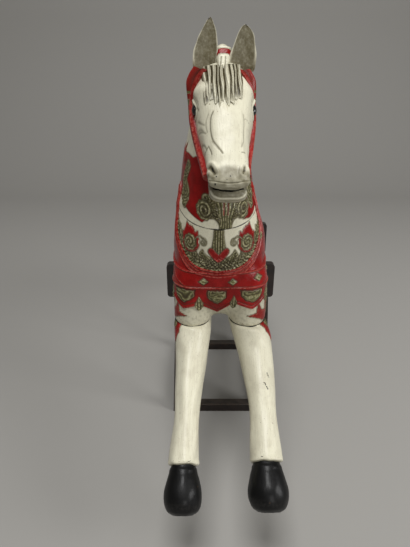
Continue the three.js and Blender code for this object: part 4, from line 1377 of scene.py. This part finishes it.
def build_head(finish, jointed, gloss):
    """Neck, head, ears, eyes and the two cheek straps."""
    build_piece("neck_wood", [neck_skin()], jointed, ["head_and_neck"])
    build_piece("head_wood", [skull_skin(), jaw_skin()], finish)
    build_piece("ears", [ear_skin(RIGHT_EAR, 10, 3.0), ear_skin(LEFT_EAR, 12, 0.5)], finish)
    build_piece("eyes", [eye_skin(-1), eye_skin(1)], gloss)
    straps = [bridle_skin(CHEEK_RIGHT, -1, 25.0, 17.0), bridle_skin(CHEEK_LEFT, 1, 16.0, 8.5)]
    build_piece("bridle", straps, finish)


def build_hair(finish):
    """Mane, forelock, topknot and tail."""
    skins = {"mane": mane_skin, "forelock": forelock_skin, "topknot": knob_skin, "tail": tail_skin}
    for name, skin in skins.items():
        build_piece(name, [skin()], finish)


# ------------------------------------------------------------------ legs


def leg_skins(stations, side, raised, stout, seed):
    """A leg and its hoof: elliptic sections square to the leg's run, flush with the body at the joint.
    The leg ends raised by some millimetres over its stations."""
    t, theta = np.concatenate([[0, 0.002, 0.006, 0.012], np.linspace(0.02, 1, 108)])[:, None], around(108)
    y, z, tilt, deep, half, right, left = station_curve(stations, t)
    x = left if side > 0 else -right
    z = z + raised * t - JOINT_GAP * (t == 0)
    tilt = np.radians(tilt)
    centre = at(x, y, z)
    direction = at(np.sin(theta), np.cos(tilt) * np.cos(theta), -np.sin(tilt) * np.cos(theta))
    own = stout / np.hypot(np.sin(theta) / half, np.cos(theta) / deep)
    flush = np.linalg.norm(cast(BODY, centre[:1], direction[:1], 110) - centre[:1], axis=-1)
    reach = mix(flush, own, smooth(t, 0, 0.22))
    reach = reach * (1 - 0.15 * np.clip((t - 0.965) / 0.035, 0, 1) ** 2.4)
    base = centre + direction * reach[..., None]
    along, turn = np.broadcast_arrays(t * LEG_RUN, theta)
    across, through = reach * np.sin(theta), reach * np.cos(theta)
    made = Carving(reach.shape)
    tool_marks = undulation(at(60 * np.sin(theta), 60 * np.cos(theta), along * 0.35), 44, seed)
    made.lift += 0.9 * tool_marks + 1.5 * hump(t - 0.93, 0.05) - 1.2 * (1 - smooth(t, 0, 0.012))
    girth = np.degrees(turn) * 0.8
    if stations is FORELEG:
        from_out = np.abs(girth - (88 if side > 0 else 200))
        flame(made, along, from_out, [([(-6, 0), (50, 0), (96, 4), (138, 0)], [28, 23, 17, 1])])
        gilt_leaf(made, along, from_out, [(-6, 0), (34, 0), (66, 0)], [9, 10, 2])
        for scratch in SCRATCHES[side]:
            scar = stroke(along, girth - 144, scratch, [0.0])[0]
            made.paint("black", 1.5 + scar + 0.6 * undulation(base, 9, seed + 40))
    made.black = np.maximum(made.black, 0.8 - 0.4 * along + 0.5 * undulation(base, 16, 8))
    made.darken(0.5 * hump(t - 1.0, 0.02))
    ankle = [value[-1, 0] for value in (x, y, z)]
    return [Skin(carved(base, made), made, at(across, through, along)),
            hoof_skin(ankle, stations[-1][2], stout)]


def hoof_skin(ankle, tilt, stout):
    """Hoof: a flared bell on the leg's last direction, with a shallow coronet ring at its top."""
    theta = around(100)
    distance, deep, half = station_curve(HOOF, np.linspace(0, 1, 50)[:, None])
    tilt = math.radians(tilt * 0.9)
    run_y, run_z = -math.sin(tilt), -math.cos(tilt)
    across, down = np.sin(theta) * half * stout, np.cos(theta) * deep * stout
    points = at(ankle[0] + across, ankle[1] + run_y * distance - run_z * down,
                ankle[2] + run_z * distance + run_y * down)
    made = Carving(across.shape, "black")
    made.lift += 1.4 * hump(distance - 9, 5) + 0.35 * undulation(points, 30, 15)
    made.rub_and_highlight(0.5 * hump(distance - 92, 9))
    return Skin(carved(points, made), made, at(across, down, distance))


def build_legs(finish):
    """The four legs, each with its hoof."""
    for name, measures in LEGS.items():
        build_piece(name + "_wood", leg_skins(*measures), finish, [name])


# ------------------------------------------------------------------ stand


def rounded_section(width, depth, radius, arc_points=6, side_points=6):
    """Outline of a rectangle with rounded corners: four arcs joined by straight sides. Also gives which
    places are on a corner, as 0 or 1, and the angle that each faces."""
    arc = np.linspace(0, math.pi / 2, arc_points)
    flat = np.linspace(0, 1, side_points + 2)[1:-1]
    signs = np.array([(1, 1), (-1, 1), (-1, -1), (1, -1), (1, 1)])
    centres = signs * (width / 2 - radius, depth / 2 - radius)
    u, v, corner, facing = [], [], [], []
    for turn, ((u0, v0), (u1, v1)) in enumerate(zip(centres, centres[1:])):
        angle = turn * math.pi / 2 + arc
        last = angle[-1]
        u += [u0 + radius * np.cos(angle), mix(u0, u1, flat) + radius * math.cos(last)]
        v += [v0 + radius * np.sin(angle), mix(v0, v1, flat) + radius * math.sin(last)]
        corner += [np.ones(arc_points), np.zeros(side_points)]
        facing += [angle, np.full(side_points, last)]
    return [np.concatenate(values) for values in (u, v, corner, facing)]


def bar_skin(start, end, width, depth, axis, radius=2.2):
    """A bar of rounded rectangular section: rings step in by the corner radius at both ends."""
    u, v, corner, facing = rounded_section(width, depth, radius)
    length = np.linalg.norm(np.array(end) - np.array(start))
    last = length / radius
    first_steps = np.array([0, 0.3, 1, 2])
    steps = np.concatenate([first_steps, np.linspace(3, last - 3, 24), last - first_steps[::-1]]) * radius
    near = np.minimum(np.minimum(steps, length - steps) / radius, 1)[:, None]
    inset = radius * (1 - np.sqrt(np.maximum(1 - (1 - near) ** 2, 0)))
    share = (steps / length)[:, None]
    parts = [mix(start[k], end[k], share) for k in range(3)]
    first, second = (k for k in range(3) if k != axis)
    parts[first] = parts[first] + u * (1 - inset / (width / 2))
    parts[second] = parts[second] + v * (1 - inset / (depth / 2))
    points = at(*parts)
    made = Carving(points.shape[:2])
    made.rub_and_highlight(np.maximum(0.9 * corner, 0.8 * (near < 1)))
    # faces that look up take the glaze mark, which the lacquer paints lighter brown: a painted highlight
    if axis != 2:
        made.darken(np.maximum(np.sin(facing), 0) ** 4)
    return Skin(points, made, at(u, v, steps[:, None]))


def node_bar(node, axis):
    """A finished bar in the box of its node; a post also leans by what its box is wider than deep."""
    low, high = (np.array(corner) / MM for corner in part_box(node))
    size = high - low
    start, end = (low + high) / 2, (low + high) / 2
    start[axis], end[axis] = low[axis], high[axis]
    width, depth = (size[k] for k in range(3) if k != axis)
    if axis == 2:
        lean = math.copysign((width - depth) / 2, start[0] - (ZERO[0] + BAR_MIDDLE))
        start[0], end[0] = start[0] + lean, end[0] - lean
        width = depth
    return bar_skin(start, end, width, depth, axis)


def build_stand(finish):
    """The eight bars of the stand, by the axis each runs along, and lacquer on the cradles."""
    bars = {"front_cross_bar": 0, "rear_cross_bar": 0, "right_side_rail": 1, "left_side_rail": 1,
            "front_right_post": 2, "front_left_post": 2, "rear_right_post": 2, "rear_left_post": 2}
    for node, axis in bars.items():
        build_piece(node + "_wood", [node_bar(node, axis)], finish, [node],
                    zero=np.zeros(3), sharp=60.0)
    for node in ("front_cradle", "rear_cradle"):
        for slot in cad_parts[node].material_slots:
            slot.material = finish


# ------------------------------------------------------------------ paint


class Nodes:
    """Short hand for a material's node tree. A value is a number, a colour or a node's output."""

    def __init__(self, name):
        self.material = bpy.data.materials.new(name)
        self.material.use_nodes = True
        self.tree = self.material.node_tree
        self.shader = self.tree.nodes["Principled BSDF"]
        self.place = self.node("ShaderNodeTexCoord").outputs["Object"]

    def link(self, value, socket):
        """Set a socket to a number or a colour, or link an output to it."""
        if isinstance(value, (int, float)):
            socket.default_value = value
        elif isinstance(value, tuple):
            socket.default_value = (*value, 1.0) if len(socket.default_value) == 4 else value
        else:
            self.tree.links.new(value, socket)

    def set(self, **values):
        """Set the shader's sockets, named with underscores in place of spaces."""
        for name, value in values.items():
            self.link(value, self.shader.inputs[name.replace("_", " ")])

    def node(self, kind, **settings):
        """A new node with its settings."""
        made = self.tree.nodes.new(kind)
        for name, value in settings.items():
            setattr(made, name, value)
        return made

    def math(self, operation, a, b=0.0, clamp=False):
        """One operation on two values."""
        made = self.node("ShaderNodeMath", operation=operation, use_clamp=clamp)
        self.link(a, made.inputs[0])
        self.link(b, made.inputs[1])
        return made.outputs[0]

    def plus(self, first, *others):
        """Sum of values."""
        for other in others:
            first = self.math("ADD", first, other)
        return first

    def minus(self, a, b):
        """Difference of two values."""
        return self.math("SUBTRACT", a, b)

    def times(self, a, b, clamp=False):
        """Product of two values, kept in 0 to 1 if asked."""
        return self.math("MULTIPLY", a, b, clamp)

    def step(self, value, low, high, start=0.0, end=1.0):
        """Smooth step of a value from low to high, mapped to start and end."""
        made = self.node("ShaderNodeMapRange", interpolation_type="SMOOTHSTEP")
        for socket, given in zip(made.inputs, (value, low, high, start, end)):
            self.link(given, socket)
        return made.outputs[0]

    def mix(self, factor, a, b):
        """Blend from colour a to colour b."""
        made = self.node("ShaderNodeMix", data_type="RGBA")
        self.link(factor, made.inputs[0])
        self.link(a, made.inputs[6])
        self.link(b, made.inputs[7])
        return made.outputs[2]

    def layer(self, under, value, low, high, share, colour):
        """A colour laid over another, by up to a share, where a value steps from low to high."""
        return self.mix(self.step(value, low, high, 0.0, share), under, colour)

    def mark(self, name, output="Fac"):
        """A mark of the mesh."""
        return self.node("ShaderNodeAttribute", attribute_name=name).outputs[output]

    def noise(self, scale, detail=3.0, rough=0.5, vector=None, stretch=None):
        """Noise in object space, or along a vector stretched by three sizes."""
        made = self.node("ShaderNodeTexNoise", noise_dimensions="3D")
        if stretch:
            mapping = self.node("ShaderNodeMapping", vector_type="POINT")
            self.link(vector, mapping.inputs["Vector"])
            mapping.inputs["Scale"].default_value = stretch
            vector = mapping.outputs[0]
        self.link(self.place if vector is None else vector, made.inputs["Vector"])
        for name, value in (("Scale", scale), ("Detail", detail), ("Roughness", rough)):
            made.inputs[name].default_value = value
        return made.outputs["Fac"]

    def emboss(self, height, strength, distance):
        """Bump the shader's normal by a height."""
        made = self.node("ShaderNodeBump")
        made.inputs["Strength"].default_value = strength
        made.inputs["Distance"].default_value = distance
        self.link(height, made.inputs["Height"])
        self.link(made.outputs[0], self.shader.inputs["Normal"])


CREAM_DEEP = (0.56, 0.52, 0.395)
STAIN = (0.40, 0.34, 0.23)
GLAZE_AND_SHADE_OLIVE = (0.094, 0.077, 0.034)
GRIME_AND_DEEP_SHADE = (0.05, 0.036, 0.02)
RED_DEEP = (0.19, 0.005, 0.004)
RED_WORN_AND_SHEEN = (0.52, 0.15, 0.11)
GILT_DEEP = (0.098, 0.099, 0.037)
GILT_WORN_AND_HIGHLIGHT = (0.58, 0.535, 0.345)
BLACK_WORN = (0.024, 0.022, 0.020)
BARE_WOOD = (0.16, 0.085, 0.04)
LACQUER_BROWN = (0.021, 0.012, 0.009)
LACQUER_TOP_HIGHLIGHT = (0.10, 0.082, 0.066)
LACQUER_WORN = (0.12, 0.075, 0.045)
LACQUER_SPECK = (0.14, 0.12, 0.10)


def joint_line(tree, colour, wave, broad, settings):
    """A dark line where the neck's block meets the trunk's, on the joint's sloping plane."""
    split = tree.node("ShaderNodeSeparateXYZ")
    tree.link(tree.place, split.inputs[0])
    spot = to_frame(np.array([0, SEAM_Y, SEAM_Z]), HORSE_ZERO)
    rise = tree.times(tree.minus(split.outputs[1], float(spot[1])), SEAM_SLOPE)
    gap = tree.minus(tree.minus(split.outputs[2], float(spot[2])), rise)
    gap = tree.math("ABSOLUTE", tree.plus(gap, tree.times(wave, 0.0005)))
    line = tree.step(gap, settings.seam_width * 0.5, settings.seam_width, 1.0, 0.0)
    line = tree.times(line, tree.step(broad, 0.32, 0.5, 0.45, 0.95))
    return tree.mix(line, colour, tuple(settings.black))


def painted_wood(name, settings, jointed=False):
    """Aged oil paint over carved wood. The marks on the mesh say where each colour lies; noises in
    object space break their edges, and streaks follow the grain. The glaze colours also paint shade,
    and the rubbed colours also paint highlight and sheen."""
    tree = Nodes(name)
    grain = tree.mark("grain", "Vector")
    fine, middle = tree.noise(900, 4, 0.6), tree.noise(170, 4, 0.6)
    broad = tree.noise(26, 3, 0.55)
    streak = tree.noise(1.0, 5, 0.65, grain, (330, 330, 26))
    long_streak = tree.noise(1.0, 4, 0.6, grain, (120, 120, 7))
    wave = tree.plus(tree.times(tree.minus(middle, 0.5), 3.2), tree.times(tree.minus(fine, 0.5), 2.0))
    red, gilt, black = (tree.step(tree.plus(tree.mark(kind), wave), -0.45, 0.45) for kind in PAINTS)
    glaze_and_shading = tree.times(tree.mark("glaze_and_shading"), tree.step(middle, 0.2, 0.65, 0.85, 1.05), clamp=True)
    wear_and_highlight = tree.times(tree.mark("wear_and_highlight"), tree.step(middle, 0.38, 0.62), clamp=True)

    cream = tree.layer(tuple(settings.cream), streak, 0.46, 0.74, 0.75, CREAM_DEEP)
    cream = tree.layer(cream, broad, 0.45, 0.72, 0.5, CREAM_DEEP)
    cream = tree.layer(cream, long_streak, 0.60, 0.78, 0.4, STAIN)
    cream = tree.layer(cream, tree.noise(95, 3, 0.6), 0.66, 0.76, 0.35, STAIN)
    cream = tree.layer(cream, tree.noise(420, 2, 0.5), 0.67, 0.74, 0.6, GLAZE_AND_SHADE_OLIVE)
    # olive glaze in hollows together with painted shade, near black where the mark is near full
    cream = tree.mix(glaze_and_shading, cream, GLAZE_AND_SHADE_OLIVE)
    cream = tree.layer(cream, glaze_and_shading, 0.93, 1.05, 0.7, GRIME_AND_DEEP_SHADE)
    scarlet = tree.mix(tree.step(broad, 0.3, 0.7), RED_DEEP, tuple(settings.red))
    scarlet = tree.layer(scarlet, streak, 0.6, 0.85, 0.18, RED_WORN_AND_SHEEN)
    # rubbed red: worn paint together with a painted pink sheen
    scarlet = tree.mix(tree.times(wear_and_highlight, 0.8), scarlet, RED_WORN_AND_SHEEN)
    scarlet = tree.mix(tree.times(glaze_and_shading, 0.85), scarlet, GRIME_AND_DEEP_SHADE)
    gold = tree.mix(tree.step(middle, 0.3, 0.7), GILT_DEEP, tuple(settings.gilt))
    # rubbed gilt: worn gilt together with painted cream highlight
    gold = tree.mix(tree.times(wear_and_highlight, 0.9), gold, GILT_WORN_AND_HIGHLIGHT)
    gold = tree.mix(tree.times(glaze_and_shading, 0.95), gold, GRIME_AND_DEEP_SHADE)
    soot = tree.mix(tree.times(wear_and_highlight, 0.8), tuple(settings.black), BLACK_WORN)

    colour = tree.mix(black, tree.mix(gilt, tree.mix(red, cream, scarlet), gold), soot)
    chips = tree.step(tree.noise(62, 5, 0.62), 0.70, 0.715)
    colour = tree.mix(tree.times(chips, 0.75), colour, BARE_WOOD)
    if jointed:
        colour = joint_line(tree, colour, wave, broad, settings)
    rough = tree.plus(tree.step(red, 0.0, 1.0, 0.32, 0.25), tree.times(black, 0.1),
                      tree.times(glaze_and_shading, 0.16), tree.step(fine, 0.3, 0.7, -0.04, 0.08))
    tree.set(Base_Color=colour, Roughness=rough, Specular_IOR_Level=0.18, Coat_Weight=0.12,
             Coat_Roughness=0.2)
    tree.emboss(tree.plus(streak, tree.times(middle, 0.7), tree.times(fine, 0.25)), 0.55, 0.0009)
    return tree.material


def lacquered_wood(name, settings):
    """Worn black lacquer: thin at the edges, and a duller, lighter brown on faces that look up, a painted
    highlight.
    """
    tree = Nodes(name)
    fine, broad = tree.noise(700, 4, 0.6), tree.noise(38, 4, 0.6)
    wear_and_highlight = tree.times(tree.mark("wear_and_highlight"), tree.step(tree.noise(210, 4, 0.65), 0.46, 0.62))
    # painted highlight: faces that look up turn a lighter, duller brown
    top_highlight = tree.times(tree.mark("glaze_and_shading"), tree.step(broad, 0.35, 0.65, 0.35, 1.0))
    base = tree.mix(tree.step(broad, 0.35, 0.7), tuple(settings.lacquer), LACQUER_BROWN)
    base = tree.mix(tree.times(top_highlight, 0.35), base, LACQUER_TOP_HIGHLIGHT)
    base = tree.mix(tree.times(wear_and_highlight, 0.55), base, LACQUER_WORN)
    base = tree.layer(base, fine, 0.7, 0.78, 0.4, LACQUER_SPECK)
    rough = tree.plus(tree.step(broad, 0.3, 0.7, 0.3, 0.42), tree.times(top_highlight, 0.25))
    tree.set(Base_Color=base, Roughness=rough)
    tree.emboss(tree.plus(fine, broad), 0.4, 0.0006)
    return tree.material


def eye_gloss(name):
    """Black glass-like enamel."""
    tree = Nodes(name)
    tree.set(Base_Color=(0.006, 0.005, 0.004), Roughness=0.08, Coat_Weight=0.5)
    return tree.material


def finish(kind, settings):
    """The named finish, made once."""
    made = bpy.data.materials.get(kind)
    if made:
        return made
    if kind == "black_lacquer_wood":
        return lacquered_wood(kind, settings)
    if kind == "eye_gloss":
        return eye_gloss(kind)
    return painted_wood(kind, settings, jointed=kind == "jointed_wood")


# ------------------------------------------------------------------ stage


def add_object(name, data, place=(0, 0, 0)):
    """An object in the scene."""
    made = bpy.data.objects.new(name, data)
    bpy.context.scene.collection.objects.link(made)
    made.location = place
    return made


def add_backdrop(grey):
    """A floor that runs back and rises in a quarter circle to a wall."""
    half, front, back, radius, top = 9.0, -9.0, 3.4, 2.2, 6.0
    turn = np.linspace(0, math.pi / 2, 24)
    y = np.concatenate([[front], back + radius * np.sin(turn), [back + radius]])
    z = np.concatenate([[0.0], radius * (1 - np.cos(turn)), [top]])
    verts = [(x, float(b), float(c)) for b, c in zip(y, z) for x in (-half, half)]
    faces = [(2 * k, 2 * k + 1, 2 * k + 3, 2 * k + 2) for k in range(len(y) - 1)]
    mesh = bpy.data.meshes.new("backdrop")
    mesh.from_pydata(verts, [], faces)
    mesh.polygons.foreach_set("use_smooth", np.ones(len(faces), bool))
    tree = Nodes("backdrop_paint")
    tree.set(Base_Color=tuple(grey), Roughness=0.75)
    mesh.materials.append(tree.material)
    add_object("backdrop", mesh)


def add_light(name, place, target, size, energy):
    """A square area light that faces a target."""
    data = bpy.data.lights.new(name, "AREA")
    data.shape, data.size, data.energy = "SQUARE", size, energy
    light = add_object(name, data, place)
    light.rotation_euler = (Vector(target) - Vector(place)).to_track_quat("-Z", "Y").to_euler()


def add_camera():
    """The viewpoint: in front of the breast, a little to the right of the bar's middle, looking down."""
    data = bpy.data.cameras.new("view")
    data.lens, data.sensor_width = 27.05, 36.0
    (left, front, _), (right, _, _) = FRONT_BAR
    camera = add_object("view", data, ((left + right) / 2 - 0.060, front - 1.290, 1.183))
    camera.rotation_euler = (math.radians(66), 0, 0)
    bpy.context.scene.camera = camera


def build_stage(settings):
    """Backdrop, camera, three soft lights and a warm light from all round."""
    add_backdrop(settings.backdrop)
    add_camera()
    add_light("overhead", (-0.4, -2.3, 8.0), (0, -0.25, 0.7), 3.0, settings.overhead)
    add_light("front", (1.2, -6.0, 2.6), (0, -0.3, 0.6), 2.2, settings.front)
    add_light("side", (4.8, -2.6, 3.2), (0, 0, 0.7), 2.2, settings.side)
    world = bpy.data.worlds.new("room")
    bpy.context.scene.world = world
    world.use_nodes = True
    background = world.node_tree.nodes["Background"]
    background.inputs["Color"].default_value = (1.0, 0.975, 0.92, 1.0)
    background.inputs["Strength"].default_value = settings.ambient
    bpy.context.scene.view_settings.view_transform = "Standard"


# ------------------------------------------------------------------ add-on


def colour_setting(name, description, default):
    """A colour that can be picked in the panel."""
    return FloatVectorProperty(name=name, description=description, default=default, subtype="COLOR",
                               size=3, min=0, max=1)


def power_setting(name, description, default):
    """A light's power in watts."""
    return FloatProperty(name=name, description=description, default=default, min=0, unit="POWER")


class HorseFinishSettings(PropertyGroup):
    """What can be changed before the pieces are built."""

    cream: colour_setting("White paint", "Colour of the body's paint where it is clean", (0.73, 0.70, 0.545))
    red: colour_setting("Red paint", "Colour of the strap and the ornaments", (0.31, 0.008, 0.007))
    gilt: colour_setting("Gilt", "Colour of the leaves and scrolls", (0.175, 0.158, 0.055))
    black: colour_setting("Black paint", "Colour of the hooves and of the dark lines", (0.003, 0.003, 0.003))
    lacquer: colour_setting("Stand lacquer", "Colour of the stand", (0.009, 0.006, 0.005))
    backdrop: colour_setting("Backdrop", "Colour of the floor and wall", (0.34, 0.33, 0.31))
    seam_width: FloatProperty(
        name="Joint line", description="Half-width of the dark line where the neck is glued on",
        default=0.0017, min=0, max=0.01, unit="LENGTH")
    overhead: power_setting("Overhead light", "Strength of the soft light above", 400)
    front: power_setting("Front light", "Strength of the soft light in front", 58)
    side: power_setting("Side light", "Strength of the soft light at the left", 150)
    ambient: FloatProperty(
        name="Ambient", description="Strength of the light from all round", default=0.15, min=0, max=2)


class HORSE_OT_torso(Operator):
    """Build the trunk and the roots of the legs"""

    bl_idname = "horse.torso"
    bl_label = "Trunk"

    def execute(self, context):
        build_torso(finish("jointed_wood", context.scene.horse_finish))
        return {"FINISHED"}


class HORSE_OT_tack(Operator):
    """Build the breast band, lappets, collar strap, blanket and saddle"""

    bl_idname = "horse.tack"
    bl_label = "Tack"

    def execute(self, context):
        build_tack(finish("painted_wood", context.scene.horse_finish))
        return {"FINISHED"}


class HORSE_OT_head(Operator):
    """Build the neck, the head, the ears, the eyes and the bridle"""

    bl_idname = "horse.head"
    bl_label = "Head and neck"

    def execute(self, context):
        kinds = ("painted_wood", "jointed_wood", "eye_gloss")
        build_head(*(finish(kind, context.scene.horse_finish) for kind in kinds))
        return {"FINISHED"}


class HORSE_OT_hair(Operator):
    """Build the mane, the forelock, the topknot and the tail"""

    bl_idname = "horse.hair"
    bl_label = "Mane and tail"

    def execute(self, context):
        build_hair(finish("painted_wood", context.scene.horse_finish))
        return {"FINISHED"}


class HORSE_OT_legs(Operator):
    """Build the four legs with their hooves"""

    bl_idname = "horse.legs"
    bl_label = "Legs"

    def execute(self, context):
        build_legs(finish("painted_wood", context.scene.horse_finish))
        return {"FINISHED"}


class HORSE_OT_stand(Operator):
    """Build the bars and posts of the stand and lacquer its cradles"""

    bl_idname = "horse.stand"
    bl_label = "Stand"

    def execute(self, context):
        build_stand(finish("black_lacquer_wood", context.scene.horse_finish))
        return {"FINISHED"}


class HORSE_OT_stage(Operator):
    """Set up the floor, the lights and the camera"""

    bl_idname = "horse.stage"
    bl_label = "Stage"

    def execute(self, context):
        build_stage(context.scene.horse_finish)
        return {"FINISHED"}


STEPS = (HORSE_OT_torso, HORSE_OT_tack, HORSE_OT_head, HORSE_OT_hair, HORSE_OT_legs, HORSE_OT_stand,
         HORSE_OT_stage)


class HORSE_PT_finish(Panel):
    """Panel with the settings and the steps"""

    bl_idname = "HORSE_PT_finish"
    bl_label = "Carousel Horse"
    bl_space_type = "VIEW_3D"
    bl_region_type = "UI"
    bl_category = "Horse"

    def draw(self, context):
        settings = context.scene.horse_finish
        for name in settings.__annotations__:
            self.layout.prop(settings, name)
        for step in STEPS:
            self.layout.operator(step.bl_idname)


CLASSES = (HorseFinishSettings, *STEPS, HORSE_PT_finish)


def register():
    """Register the classes and hang the settings on the scene."""
    for item in CLASSES:
        bpy.utils.register_class(item)
    bpy.types.Scene.horse_finish = PointerProperty(type=HorseFinishSettings)


def unregister():
    """Undo what register does."""
    del bpy.types.Scene.horse_finish
    for item in reversed(CLASSES):
        bpy.utils.unregister_class(item)


def main():
    """Register the add-on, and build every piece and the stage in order."""
    register()
    bpy.ops.horse.torso()
    bpy.ops.horse.tack()
    bpy.ops.horse.head()
    bpy.ops.horse.hair()
    bpy.ops.horse.legs()
    bpy.ops.horse.stand()
    bpy.ops.horse.stage()


if __name__ == "__main__":
    main()
